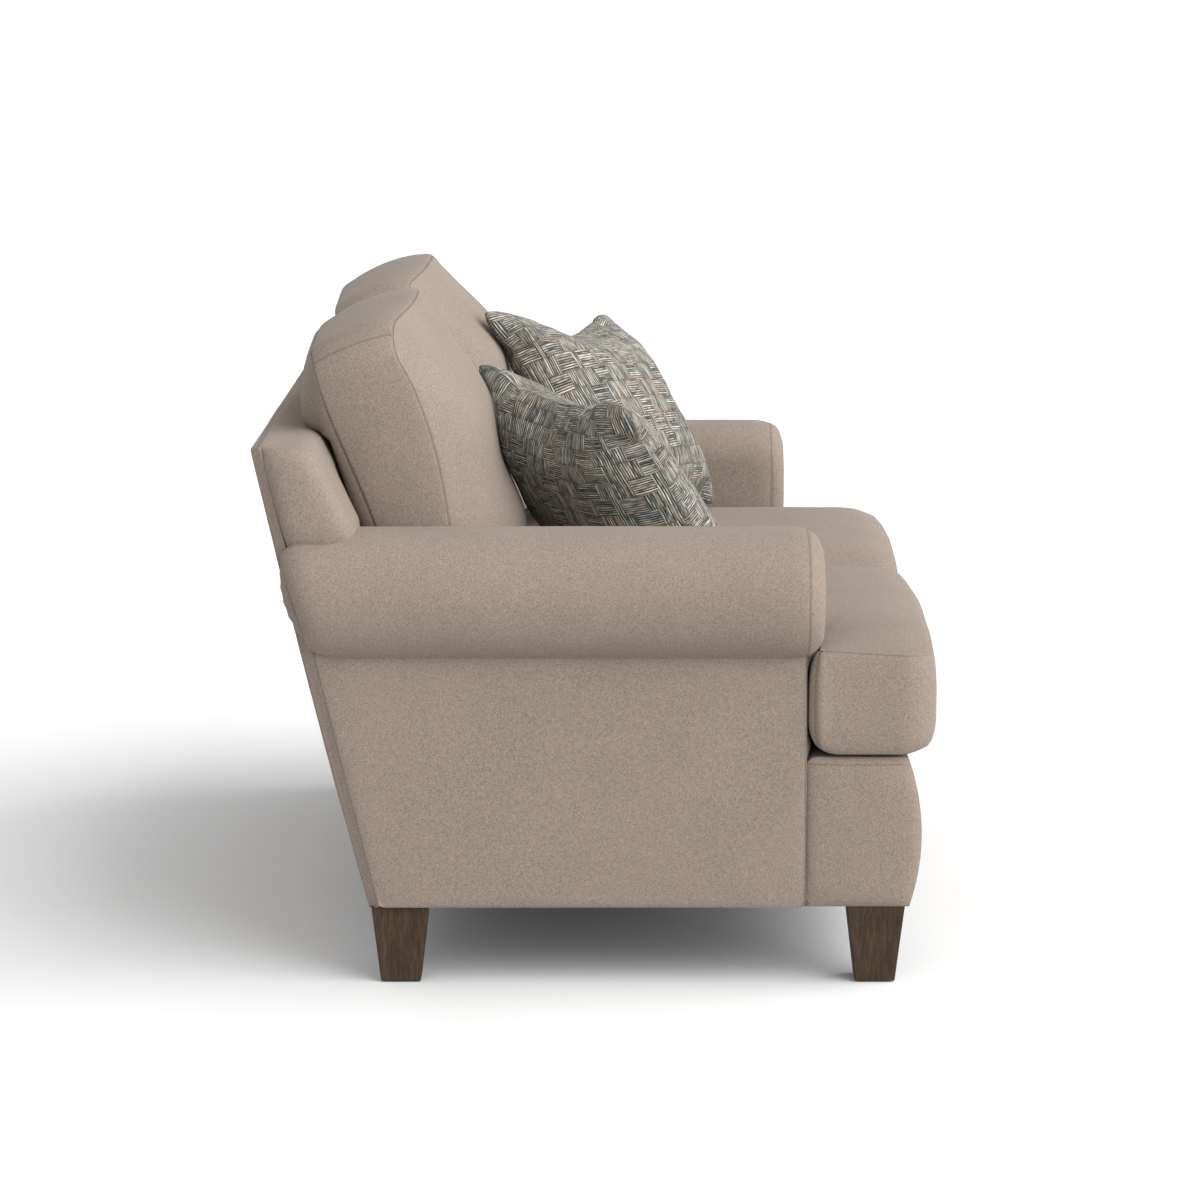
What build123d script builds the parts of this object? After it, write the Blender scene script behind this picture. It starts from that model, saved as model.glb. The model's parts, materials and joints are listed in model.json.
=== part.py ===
"""Two-seat sofa with rolled arms, T-shaped seat cushions, loose back cushions and two throw pillows.

Millimetres. Origin on the floor under the middle of the whole sofa, +Z up, the front faces -Y, +X is to the
right of a person who faces the front. Left parts lie at -X, right parts at +X.
"""
import os
from math import atan, cos, radians, sin, sqrt

from build123d import *

os.makedirs("parts", exist_ok=True)

# ---------------------------------------------------------------- driving dimensions
base_z = 116.0          # underside of the upholstery, top of the legs
frame_z = 120.0         # underside of the wooden frame
rail_top = 318.0        # top of the seat rails
deck_top = 338.0        # top of the spring deck and of the front border
back_top = 788.0        # top of the outside back
arm_top = 664.0         # top of the arm roll

inner_arm = 606.0       # inside face of an arm, from the centre line
panel_out = 755.0       # outside face of an outside arm panel
roll_out = 815.0        # outermost line of the arm roll
roll_r = 90.0           # radius of the outer part of the roll
roll_cx = roll_out - roll_r
roll_cz = arm_top - roll_r
arm_skin = 22.0         # padded cover of the arm

front_y = -493.5        # front of the seat cushions
rear_y = 493.5          # top rear edge of the back
back_foot_y = 328.5     # rear edge of the back at its underside
rake = (rear_y - back_foot_y) / (back_top - base_z)
panel_t = 12.4          # outside back panel, measured along Y
seat_rake = 0.3276      # slope of the inside back, dY/dZ
recess = 25.0           # how far the inside back lies behind the wings
arm_front_y = -299.5    # front end of the arm roll cover
border_front_y = -469.5
border_rear_y = -303.0

leg_top_w, leg_foot_w = 84.0, 58.0
leg_x = 704.0
leg_front_y, leg_rear_y = -404.5, 287.0
glide_t = 2.0
bolt_r, bolt_hole = 3.95, 4.0

end_x0, end_x1 = 720.0, 745.0
front_rail_y0, front_rail_y1 = -440.0, -415.0
rear_rail_y0, rear_rail_y1 = 292.0, 315.0
post_x0, post_x1, post_d, post_top = 687.5, 719.5, 50.0, 768.0

spring_z, wire_r = 324.0, 2.0
spring_half, turn_r, n_runs = 18.0, 18.2, 21
spring_y0 = -428.0
spring_x = (92, 194, 296, 398, 500)

seat_z0, seat_z1, seat_crown = 339.5, 497.0, 515.0
seat_rear = 255.0
ear_out, ear_rear = 765.0, -310.0
cover_t = 4.0           # thickness of a cushion cover with its wrap
gap = 0.5               # room between a cover and its filling
zip_x0, zip_x1, zip_z = 60.0, 540.0, 418.0

pillow_w, pillow_h, pillow_t = 425.0, 395.0, 150.0

sides = {"left": -1, "right": 1}
leg_spots = {
    "front_left": (-leg_x, leg_front_y),
    "front_right": (leg_x, leg_front_y),
    "rear_left": (-leg_x, leg_rear_y),
    "rear_right": (leg_x, leg_rear_y),
}


def back_out(z):
    """Rear face of the outside back at height z."""
    return back_foot_y + (z - base_z) * rake


def back_in(z):
    """Front face of the outside back panel at height z."""
    return back_out(z) - panel_t


def post_rear(z):
    """Rear face of the raked posts at height z."""
    return back_in(z) - 1.0


def wing_y(z):
    """Front edge of the back's wings at height z."""
    return 342.0 + (z - 675.0) * seat_rake


def inside_back(z):
    """Face of the inside back at height z."""
    return wing_y(z) + recess


def span(s, a, b):
    """The x limits of a piece that lies from a to b outward on side s."""
    return (a, b) if s > 0 else (-b, -a)


# ---------------------------------------------------------------- shapes drawn in the open part
def timber(x0, x1, y0, y1, z0, z1, mode=Mode.ADD):
    """A squared timber or slab between two corners."""
    with Locations(((x0 + x1) / 2, (y0 + y1) / 2, (z0 + z1) / 2)):
        Box(x1 - x0, y1 - y0, z1 - z0, mode=mode)


def across(points, x0, x1, mode=Mode.ADD):
    """A profile given as (y, z) points, drawn across the sofa from x0 to x1."""
    with BuildSketch(Plane.YZ.offset(x0)) as profile:
        with BuildLine():
            Polyline(*points, close=True)
        make_face()
    extrude(profile.sketch, amount=x1 - x0, mode=mode)


def back_board(z0, z1, d0, d1, x0, x1, mode=Mode.ADD):
    """A board that follows the raked back, between d0 and d1 in front of the posts' rear face."""
    across([(post_rear(z0) - d1, z0), (post_rear(z0) - d0, z0), (post_rear(z1) - d0, z1), (post_rear(z1) - d1, z1)], x0, x1, mode)


def arm_section(inset, y0, y1, z_low, mode=Mode.ADD):
    """The right arm's rolled section, inset from its finished outline, drawn from y0 to y1."""
    r = roll_r - inset
    xi, top, u = inner_arm + inset, arm_top - inset, panel_out - inset
    zu = roll_cz - sqrt(r * r - (u - roll_cx) ** 2)
    crown = 62.0 - inset / 2
    with BuildSketch(Plane.XZ.offset(-y1)) as section:
        with BuildLine():
            Line((xi, z_low), (xi, top - crown))
            RadiusArc((xi, top - crown), (xi + crown, top), crown)
            Line((xi + crown, top), (roll_cx, top))
            ThreePointArc((roll_cx, top), (roll_cx + r * cos(radians(10)), roll_cz + r * sin(radians(10))), (u, zu))
            Polyline((u, zu), (u, z_low), (xi, z_low))
        make_face()
    extrude(section.sketch, amount=y1 - y0, mode=mode)


roll_foot_z = roll_cz - sqrt(roll_r**2 - (panel_out - roll_cx) ** 2)

# ---------------------------------------------------------------- legs and their hardware
for spot, (lx, ly) in leg_spots.items():
    with BuildPart() as leg:
        with BuildSketch(Plane((lx, ly, glide_t))):
            Rectangle(leg_foot_w, leg_foot_w)
        with BuildSketch(Plane((lx, ly, base_z))):
            Rectangle(leg_top_w, leg_top_w)
        loft(ruled=True)
        fillet(leg.edges().filter_by(lambda e: abs(e.tangent_at(0.5).Z) > 0.5), 2.5)
        chamfer(leg.faces().sort_by(Axis.Z)[0].edges(), 1.0)
        with Locations((lx, ly, base_z)):
            Hole(radius=bolt_hole, depth=45)
    leg.part.label = f"leg_{spot}"
    export_step(leg.part, f"parts/leg_{spot}.step")

with BuildPart() as leg_glides:
    with Locations(*[(x, y, glide_t / 2) for x, y in leg_spots.values()]):
        Cylinder(radius=19, height=glide_t)
    chamfer(leg_glides.faces().filter_by(Axis.Z).group_by(Axis.Z)[0].edges(), 0.6)
leg_glides.part.label = "leg_glides"
export_step(leg_glides.part, "parts/leg_glides.step")

with BuildPart() as leg_hanger_bolts:
    with Locations(*[(x, y, base_z - 42) for x, y in leg_spots.values()]):
        Cylinder(radius=bolt_r, height=42 + 30, align=(Align.CENTER, Align.CENTER, Align.MIN))
    chamfer(leg_hanger_bolts.edges().filter_by(GeomType.CIRCLE), 1.2)
leg_hanger_bolts.part.label = "leg_hanger_bolts"
export_step(leg_hanger_bolts.part, "parts/leg_hanger_bolts.step")

plate_z0, plate_z1 = base_z + 1.3, frame_z - 0.1
with BuildPart() as leg_plates:
    with BuildSketch(Plane.XY.offset(plate_z0)):
        with Locations(*leg_spots.values()):
            RectangleRounded(54, 54, 6)
            Circle(bolt_hole, mode=Mode.SUBTRACT)
            with GridLocations(38, 38, 2, 2):
                Circle(2.4, mode=Mode.SUBTRACT)
    extrude(amount=plate_z1 - plate_z0)
leg_plates.part.label = "leg_plates"
export_step(leg_plates.part, "parts/leg_plates.step")

# ---------------------------------------------------------------- base frame
with BuildPart() as front_seat_rail:
    timber(-end_x0 + 0.5, end_x0 - 0.5, front_rail_y0, front_rail_y1, frame_z, rail_top)
front_seat_rail.part.label = "front_seat_rail"
export_step(front_seat_rail.part, "parts/front_seat_rail.step")

with BuildPart() as rear_seat_rail:
    timber(-post_x0 + 0.5, post_x0 - 0.5, rear_rail_y0, rear_rail_y1, frame_z, rail_top)
rear_seat_rail.part.label = "rear_seat_rail"
export_step(rear_seat_rail.part, "parts/rear_seat_rail.step")

with BuildPart() as center_seat_rail:
    timber(-16, 16, front_rail_y1 + 0.5, rear_rail_y0 - 0.5, frame_z, rail_top)
center_seat_rail.part.label = "center_seat_rail"
export_step(center_seat_rail.part, "parts/center_seat_rail.step")

for side, s in sides.items():
    with BuildPart() as end_rail:
        timber(*span(s, end_x0, end_x1), front_rail_y0, 315.0, frame_z, rail_top)
    end_rail.part.label = f"end_rail_{side}"
    export_step(end_rail.part, f"parts/end_rail_{side}.step")

# corner blocks: the front ones sit over the legs, the rear ones brace the posts
with BuildPart() as corner_blocks:
    with BuildSketch(Plane.XY.offset(frame_z)):
        with BuildLine():
            x, y = end_x0 - 0.5, front_rail_y1 + 0.5
            Polyline((x, y), (x, y + 90), (x - 20, y + 90), (x - 90, y + 20), (x - 90, y), close=True)
        make_face()
        with BuildLine():
            x, y = post_x0 - 0.5, rear_rail_y0 - 0.5
            Polyline((x, y), (x, y - 90), (x - 20, y - 90), (x - 90, y - 20), (x - 90, y), close=True)
        make_face()
        with Locations((leg_x, leg_front_y)):
            Circle(bolt_hole + 0.6, mode=Mode.SUBTRACT)
    extrude(amount=48)
    mirror(about=Plane.YZ)
corner_blocks.part.label = "corner_blocks"
export_step(corner_blocks.part, "parts/corner_blocks.step")

# wood screws: four in each leg plate, one through each corner block
with BuildPart() as frame_screws:
    for x, y in leg_spots.values():
        with Locations((x, y, plate_z0 - 0.1)):
            with GridLocations(38, 38, 2, 2):
                Cylinder(radius=1.9, height=17, align=(Align.CENTER, Align.CENTER, Align.MIN))
    for s in (-1, 1):
        for x, y in ((end_x0, front_rail_y1 + 70), (post_x0, rear_rail_y0 - 70)):
            with Locations(Location((s * (x - 24.5), y, frame_z + 24), (0, 90 * s, 0))):
                Cylinder(radius=2.2, height=38, align=(Align.CENTER, Align.CENTER, Align.MIN))
frame_screws.part.label = "frame_screws"
export_step(frame_screws.part, "parts/frame_screws.step")

# ---------------------------------------------------------------- arm upholstery
# roll cover: inside arm, over the roll and back under it to the outside panel, closed at its rear end
with BuildPart() as arm_roll_right:
    arm_section(arm_skin, -400.0, 520.0, rail_top - 40)
    across([(back_in(0) - 15.0, 0), (back_in(1100) - 15.0, 1100), (900, 1100), (900, 0)], 500, 900, Mode.SUBTRACT)
arm_hollow = arm_roll_right.part
with BuildPart() as arm_roll_right:
    arm_section(0.0, arm_front_y, 520.0, rail_top + 1.5)
    across([(back_in(0) - 0.8, 0), (back_in(1100) - 0.8, 1100), (900, 1100), (900, 0)], 500, 900, Mode.SUBTRACT)
    add(arm_hollow, mode=Mode.SUBTRACT)
    # open below the roll, where the outside panel stands
    timber(inner_arm + arm_skin - 1, panel_out + 5, -600, 600, 200, roll_foot_z + 0.6, Mode.SUBTRACT)
    # room for the back frame, which passes between the arm and the outside back
    back_board(250, arm_top + 30, -12, post_d + 3, 560, post_x1 + 1.5, Mode.SUBTRACT)
arm_roll_right.part.label = "arm_roll_right"
export_step(arm_roll_right.part, "parts/arm_roll_right.step")

with BuildPart() as arm_roll_left:
    mirror(arm_roll_right.part, about=Plane.YZ)
arm_roll_left.part.label = "arm_roll_left"
export_step(arm_roll_left.part, "parts/arm_roll_left.step")

# arm front: a padded facing, thicker at the roll than behind the cushion's ear
with BuildPart() as arm_front_right:
    arm_section(0.0, -321.5, arm_front_y - 0.3, deck_top + 1)
    timber(500, 900, -330, -303.0, 300, 501, Mode.SUBTRACT)
    fillet(arm_front_right.faces().sort_by(Axis.Y)[0].edges().filter_by(lambda e: e.center().Z > 505), 9)
arm_front_right.part.label = "arm_front_right"
export_step(arm_front_right.part, "parts/arm_front_right.step")

with BuildPart() as arm_front_left:
    mirror(arm_front_right.part, about=Plane.YZ)
arm_front_left.part.label = "arm_front_left"
export_step(arm_front_left.part, "parts/arm_front_left.step")

for side, s in sides.items():
    with BuildPart() as arm_outside_panel:
        across([(arm_front_y + 0.3, base_z), (back_in(base_z) - 1, base_z), (back_in(roll_foot_z) - 1, roll_foot_z),
                (arm_front_y + 0.3, roll_foot_z)], *span(s, panel_out - 8, panel_out))
    arm_outside_panel.part.label = f"arm_outside_panel_{side}"
    export_step(arm_outside_panel.part, f"parts/arm_outside_panel_{side}.step")

# ---------------------------------------------------------------- arm frames
with BuildPart() as arm_front_board_right:
    arm_section(arm_skin + 1.0, -298.0, -280.0, rail_top + 0.5)
arm_front_board_right.part.label = "arm_front_board_right"
export_step(arm_front_board_right.part, "parts/arm_front_board_right.step")

with BuildPart() as arm_front_board_left:
    mirror(arm_front_board_right.part, about=Plane.YZ)
arm_front_board_left.part.label = "arm_front_board_left"
export_step(arm_front_board_left.part, "parts/arm_front_board_left.step")

with BuildPart() as arm_rear_board_right:
    arm_section(arm_skin + 1.0, 294.0, 312.0, rail_top + 0.5)
arm_rear_board_right.part.label = "arm_rear_board_right"
export_step(arm_rear_board_right.part, "parts/arm_rear_board_right.step")

with BuildPart() as arm_rear_board_left:
    mirror(arm_rear_board_right.part, about=Plane.YZ)
arm_rear_board_left.part.label = "arm_rear_board_left"
export_step(arm_rear_board_left.part, "parts/arm_rear_board_left.step")

with BuildPart() as arm_top_boards:
    timber(675, 735, -279.5, 293.5, 616, 640)
    mirror(about=Plane.YZ)
arm_top_boards.part.label = "arm_top_boards"
export_step(arm_top_boards.part, "parts/arm_top_boards.step")

with BuildPart() as arm_stretchers:
    timber(630, 652, -279.5, 293.5, 345, 395)
    mirror(about=Plane.YZ)
arm_stretchers.part.label = "arm_stretchers"
export_step(arm_stretchers.part, "parts/arm_stretchers.step")

with BuildPart() as arm_roll_rails:
    timber(764, 784, -279.5, 293.5, 548, 604)
    mirror(about=Plane.YZ)
arm_roll_rails.part.label = "arm_roll_rails"
export_step(arm_roll_rails.part, "parts/arm_roll_rails.step")

# ---------------------------------------------------------------- back frame
for side, s in sides.items():
    with BuildPart() as back_post:
        back_board(frame_z, post_top, 0, post_d, *span(s, post_x0, post_x1))
        # room for the leg's hanger bolt
        with Locations((s * leg_x, leg_rear_y, frame_z)):
            Cylinder(radius=bolt_hole + 0.6, height=32, align=(Align.CENTER, Align.CENTER, Align.MIN), mode=Mode.SUBTRACT)
    back_post.part.label = f"back_post_{side}"
    export_step(back_post.part, f"parts/back_post_{side}.step")

with BuildPart() as back_top_rail:
    back_board(698, post_top, 0, 26, -post_x0 + 0.5, post_x0 - 0.5)
back_top_rail.part.label = "back_top_rail"
export_step(back_top_rail.part, "parts/back_top_rail.step")

with BuildPart() as back_lower_rail:
    back_board(345, 405, 0, 26, -post_x0 + 0.5, post_x0 - 0.5)
back_lower_rail.part.label = "back_lower_rail"
export_step(back_lower_rail.part, "parts/back_lower_rail.step")

with BuildPart() as back_center_post:
    back_board(405.5, 697.5, 0, 26, -16, 16)
back_center_post.part.label = "back_center_post"
export_step(back_center_post.part, "parts/back_center_post.step")

with BuildPart() as back_webbing_upright:
    for x in (110, 250, 390, 530):
        back_board(352, 762, 26.4, 28.2, x - 25, x + 25)
    mirror(about=Plane.YZ)
back_webbing_upright.part.label = "back_webbing_upright"
export_step(back_webbing_upright.part, "parts/back_webbing_upright.step")

with BuildPart() as back_webbing_cross:
    for z in (450, 540, 630):
        back_board(z - 25, z + 25, 28.6, 30.4, -post_x0 + 1, post_x0 - 1)
back_webbing_cross.part.label = "back_webbing_cross"
export_step(back_webbing_cross.part, "parts/back_webbing_cross.step")

# ---------------------------------------------------------------- back upholstery
with BuildPart() as inside_back_pad:
    across([(inside_back(340), 340), (post_rear(340) - 32, 340), (post_rear(766) - 32, 766), (inside_back(766), 766)], -603, 603)
inside_back_pad.part.label = "inside_back_pad"
export_step(inside_back_pad.part, "parts/inside_back_pad.step")

with BuildPart() as back_cover:
    z0, z1 = arm_top + 2, back_top + 2
    across([(wing_y(z0), z0), (wing_y(z1), z1), (back_in(z1) - 0.6, z1), (back_in(z0) - 0.6, z0)], -750, 750)
    fillet(back_cover.edges().filter_by(lambda e: abs(e.center().X) > 740 and e.center().Y < wing_y(e.center().Z) + 1
                                        and abs(e.tangent_at(0.5).Z) > 0.5), 30)
    # the posts, the rails and the webbing
    back_board(600, 770, -40, post_d + 2, -post_x1 - 1, post_x1 + 1, Mode.SUBTRACT)
    # the inside back between the wings, behind the loose cushions
    across([(200, 600), (post_rear(600) - 20, 600), (post_rear(768) - 20, 768), (200, 768)], -604, 604, Mode.SUBTRACT)
    across([(200, 700), (inside_back(700), 700), (inside_back(800), 800), (200, 800)], -604, 604, Mode.SUBTRACT)
back_cover.part.label = "back_cover"
export_step(back_cover.part, "parts/back_cover.step")

with BuildPart() as outside_back_panel:
    across([(back_in(base_z), base_z), (back_out(base_z), base_z), (back_out(back_top), back_top), (back_in(back_top), back_top)], -752, 752)
outside_back_panel.part.label = "outside_back_panel"
export_step(outside_back_panel.part, "parts/outside_back_panel.step")

# ---------------------------------------------------------------- front border and dust cover
with BuildPart() as front_border:
    with BuildSketch(Plane.YZ.offset(-757)):
        with BuildLine():
            Line((border_rear_y, base_z), (-447.5, base_z))
            ThreePointArc((-447.5, base_z), (border_front_y, 231.0), (-452.0, deck_top - 4))
            Polyline((-452.0, deck_top - 4), (-446.0, deck_top), (border_rear_y, deck_top), (border_rear_y, base_z))
        make_face()
    extrude(amount=2 * 757)
    fillet(front_border.edges().filter_by(lambda e: abs(abs(e.center().X) - 757) < 0.1 and e.center().Y < -440), 8)
    timber(-746.5, 746.5, -441.0, -200, 50, deck_top - 10, Mode.SUBTRACT)
front_border.part.label = "front_border"
export_step(front_border.part, "parts/front_border.step")

with BuildPart() as dust_cover:
    timber(-744, 744, -439, 314, base_z + 0.2, base_z + 1.1)
    with Locations(*[(x, y, base_z + 0.6) for x, y in leg_spots.values()]):
        Cylinder(radius=bolt_hole + 0.6, height=6, mode=Mode.SUBTRACT)
dust_cover.part.label = "dust_cover"
export_step(dust_cover.part, "parts/dust_cover.step")

# ---------------------------------------------------------------- seat suspension
with BuildPart() as seat_springs:
    with BuildLine() as zigzag:
        for i in range(n_runs):
            y = spring_y0 + 2 * turn_r * i
            d = 1 if i % 2 == 0 else -1
            Line((-d * spring_half, y, spring_z), (d * spring_half, y, spring_z))
            if i < n_runs - 1:
                ThreePointArc((d * spring_half, y, spring_z), (d * (spring_half + turn_r), y + turn_r, spring_z),
                              (d * spring_half, y + 2 * turn_r, spring_z))
    for x in spring_x:
        for s in (-1, 1):
            run = zigzag.wires()[0].moved(Location((s * x, 0, 0)))
            with BuildSketch(Plane(origin=(s * x - spring_half, spring_y0, spring_z), z_dir=(1, 0, 0))) as wire_end:
                Circle(wire_r)
            sweep(wire_end.sketch, path=run)
seat_springs.part.label = "seat_springs"
export_step(seat_springs.part, "parts/seat_springs.step")

spring_y1 = spring_y0 + 2 * turn_r * (n_runs - 1)
with BuildPart() as seat_spring_clips:
    for x in spring_x:
        for y, d in ((spring_y0, 1), (spring_y1, -1)):
            timber(x - 13, x + 13, y - 7 + d * -1, y + 7 + d * -1, rail_top + 0.2, spring_z + 4.0)
            timber(x - 14, x + 14, y - 4 + (8 if d < 0 else 0) * -1, y + 12 - (8 if d < 0 else 0), spring_z - 2.6, spring_z + 2.6, Mode.SUBTRACT)
    mirror(about=Plane.YZ)
seat_spring_clips.part.label = "seat_spring_clips"
export_step(seat_spring_clips.part, "parts/seat_spring_clips.step")

with BuildPart() as seat_tie_wires:
    for y in (-215.5, 9.5, 184.5):
        with Locations(Location((0, y, spring_z - wire_r - 1.7), (0, 90, 0))):
            Cylinder(radius=1.5, height=1100)
seat_tie_wires.part.label = "seat_tie_wires"
export_step(seat_tie_wires.part, "parts/seat_tie_wires.step")

with BuildPart() as seat_insulator_pad:
    timber(-602, 602, -300, 290, spring_z + 4.6, deck_top - 3.6)
seat_insulator_pad.part.label = "seat_insulator_pad"
export_step(seat_insulator_pad.part, "parts/seat_insulator_pad.step")

with BuildPart() as seat_deck_cloth:
    timber(-603, 603, -301.5, 252, deck_top - 3.2, deck_top)
seat_deck_cloth.part.label = "seat_deck_cloth"
export_step(seat_deck_cloth.part, "parts/seat_deck_cloth.step")


# ---------------------------------------------------------------- seat cushions (T-shaped, one ear each)
def seat_body(i, mode=Mode.ADD):
    """The right seat cushion, inset by i all round from its finished outline."""
    with BuildSketch(Plane.XY.offset(seat_z0 + i)) as outline:
        with BuildLine():
            Polyline((2 + i, front_y + i), (ear_out - i, front_y + i), (ear_out - i, ear_rear - i), (inner_arm - 2 - i, ear_rear - i),
                     (inner_arm - 2 - i, seat_rear - i), (2 + i, seat_rear - i), close=True)
        make_face()
        fillet(outline.vertices().filter_by(lambda v: v.X > 700 and v.Y < -400), 28 - i)
    extrude(outline.sketch, amount=seat_z1 - seat_z0 - 2 * i, mode=mode)
    with BuildSketch(Plane.XY.offset(seat_z1 - i)) as crown:
        with Locations((inner_arm / 2, (front_y + seat_rear) / 2)):
            Rectangle(inner_arm - 24 - 2 * i, seat_rear - front_y - 50 - 2 * i)
    extrude(crown.sketch, amount=seat_crown - seat_z1, taper=40, mode=mode)


with BuildPart() as seat_cushion_cover_right:
    seat_body(0.0)
    seat_body(cover_t, Mode.SUBTRACT)
seat_cushion_cover_right.part.label = "seat_cushion_cover_right"
export_step(seat_cushion_cover_right.part, "parts/seat_cushion_cover_right.step")

with BuildPart() as seat_cushion_cover_left:
    mirror(seat_cushion_cover_right.part, about=Plane.YZ)
seat_cushion_cover_left.part.label = "seat_cushion_cover_left"
export_step(seat_cushion_cover_left.part, "parts/seat_cushion_cover_left.step")

with BuildPart() as seat_cushion_foam_right:
    seat_body(cover_t + gap)
seat_cushion_foam_right.part.label = "seat_cushion_foam_right"
export_step(seat_cushion_foam_right.part, "parts/seat_cushion_foam_right.step")

with BuildPart() as seat_cushion_foam_left:
    mirror(seat_cushion_foam_right.part, about=Plane.YZ)
seat_cushion_foam_left.part.label = "seat_cushion_foam_left"
export_step(seat_cushion_foam_left.part, "parts/seat_cushion_foam_left.step")

for side, s in sides.items():
    with BuildPart() as zip_chain:
        timber(*span(s, zip_x0, zip_x1), seat_rear + 0.2, seat_rear + 1.2, zip_z - 14, zip_z + 14)
        timber(*span(s, zip_x0 + 4, zip_x1 - 4), seat_rear + 1.2, seat_rear + 2.6, zip_z - 2.5, zip_z + 2.5)
    zip_chain.part.label = f"seat_zip_chain_{side}"
    export_step(zip_chain.part, f"parts/seat_zip_chain_{side}.step")
    with BuildPart() as zip_slider:
        sx = zip_x0 + 16
        timber(*span(s, sx - 5, sx + 5), seat_rear + 3.0, seat_rear + 5.4, zip_z - 4.5, zip_z + 4.5)
        timber(*span(s, sx - 1.5, sx + 1.5), seat_rear + 5.4, seat_rear + 7.2, zip_z - 3, zip_z + 3)
        timber(*span(s, sx - 3, sx + 3), seat_rear + 7.2, seat_rear + 8.6, zip_z - 26, zip_z + 2)
    zip_slider.part.label = f"seat_zip_slider_{side}"
    export_step(zip_slider.part, f"parts/seat_zip_slider_{side}.step")

# ---------------------------------------------------------------- back cushions
bc_z0 = seat_crown + 2.0
seam_lean = atan(0.277)         # lean of the front seam
seam_n = (0, -cos(seam_lean), sin(seam_lean))
seam_mid = (304.0, 239.0, 725.0)


def back_cushion_body(i, mode=Mode.ADD):
    """The right back cushion: boxed body, crowned top and crowned front, inset by i from its finished outline."""
    x0, x1 = 3 + i, inner_arm - 2 - i
    across([(inside_back(bc_z0) - 2 - i, bc_z0 + i), (inside_back(893) - 6 - i, 893 - i), (301 + i, 941 - i),
            (181 + i, bc_z0 + i)], x0, x1, mode)
    across([(290 + i, 930), (294 + i, 966 - i), (318, 974 - i), (372 - i, 951 - i), (415 - i, 890)], x0 + 55, x1 - 55, mode)
    with BuildSketch(*[Plane(origin=tuple(c + n * d for c, n in zip(seam_mid, seam_n)), x_dir=(1, 0, 0), z_dir=seam_n)
                       for d in (-8.0,)]) as foot:
        Rectangle(596 - 2 * i, 424 - 2 * i)
    sections = [foot.sketch.face()]
    for d, w, h in ((34.0 - i, 566, 396), (74.0 - i, 470, 306), (97.0 - i, 300, 160)):
        with BuildSketch(Plane(origin=tuple(c + n * d for c, n in zip(seam_mid, seam_n)), x_dir=(1, 0, 0), z_dir=seam_n)) as ring:
            with Locations((0, -16)):
                Rectangle(w - 2 * i, h - 2 * i)
        sections.append(ring.sketch.face())
    loft(sections, ruled=True, mode=mode)


with BuildPart() as back_cushion_cover_right:
    back_cushion_body(0.0)
    back_cushion_body(cover_t, Mode.SUBTRACT)
back_cushion_cover_right.part.label = "back_cushion_cover_right"
export_step(back_cushion_cover_right.part, "parts/back_cushion_cover_right.step")

with BuildPart() as back_cushion_cover_left:
    mirror(back_cushion_cover_right.part, about=Plane.YZ)
back_cushion_cover_left.part.label = "back_cushion_cover_left"
export_step(back_cushion_cover_left.part, "parts/back_cushion_cover_left.step")

with BuildPart() as back_cushion_fill_right:
    back_cushion_body(cover_t + gap)
back_cushion_fill_right.part.label = "back_cushion_fill_right"
export_step(back_cushion_fill_right.part, "parts/back_cushion_fill_right.step")

with BuildPart() as back_cushion_fill_left:
    mirror(back_cushion_fill_right.part, about=Plane.YZ)
back_cushion_fill_left.part.label = "back_cushion_fill_left"
export_step(back_cushion_fill_left.part, "parts/back_cushion_fill_left.step")

# ---------------------------------------------------------------- throw pillows
pillow_frames = {  # centre, along the width from the inner to the outer corner, up
    "right": ((356.0, -17.0, 714.0), (0.39, -0.184, -0.028), (-0.01, 0.202, 0.346)),
    "left": ((-304.0, -10.0, 700.0), (-0.3745, -0.226, -0.013), (0.0335, 0.184, 0.300)),
}


def pillow_body(side, i, mode=Mode.ADD):
    """A throw pillow leaning in its corner: a square that thins to its edges, inset by i."""
    centre, width_dir, up = pillow_frames[side]
    x_dir = Vector(*width_dir).normalized()
    z_dir = x_dir.cross(Vector(*up)).normalized()
    with BuildSketch(Plane(origin=centre, x_dir=x_dir, z_dir=z_dir)) as square:
        Rectangle(pillow_w - 4 * i, pillow_h - 4 * i)
    extrude(square.sketch, amount=pillow_t / 2 - 1.2 * i, both=True, taper=58, mode=mode)


for side in sides:
    with BuildPart() as pillow_cover:
        pillow_body(side, 0.0)
        pillow_body(side, 3.0, Mode.SUBTRACT)
    pillow_cover.part.label = f"throw_pillow_cover_{side}"
    export_step(pillow_cover.part, f"parts/throw_pillow_cover_{side}.step")
    with BuildPart() as pillow_insert:
        pillow_body(side, 3.6)
    pillow_insert.part.label = f"throw_pillow_insert_{side}"
    export_step(pillow_insert.part, f"parts/throw_pillow_insert_{side}.step")
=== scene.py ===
import json
import math

import bpy
import numpy as np
from mathutils import Matrix, Vector, noise
from mathutils.bvhtree import BVHTree
from mathutils.geometry import delaunay_2d_cdt

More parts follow.
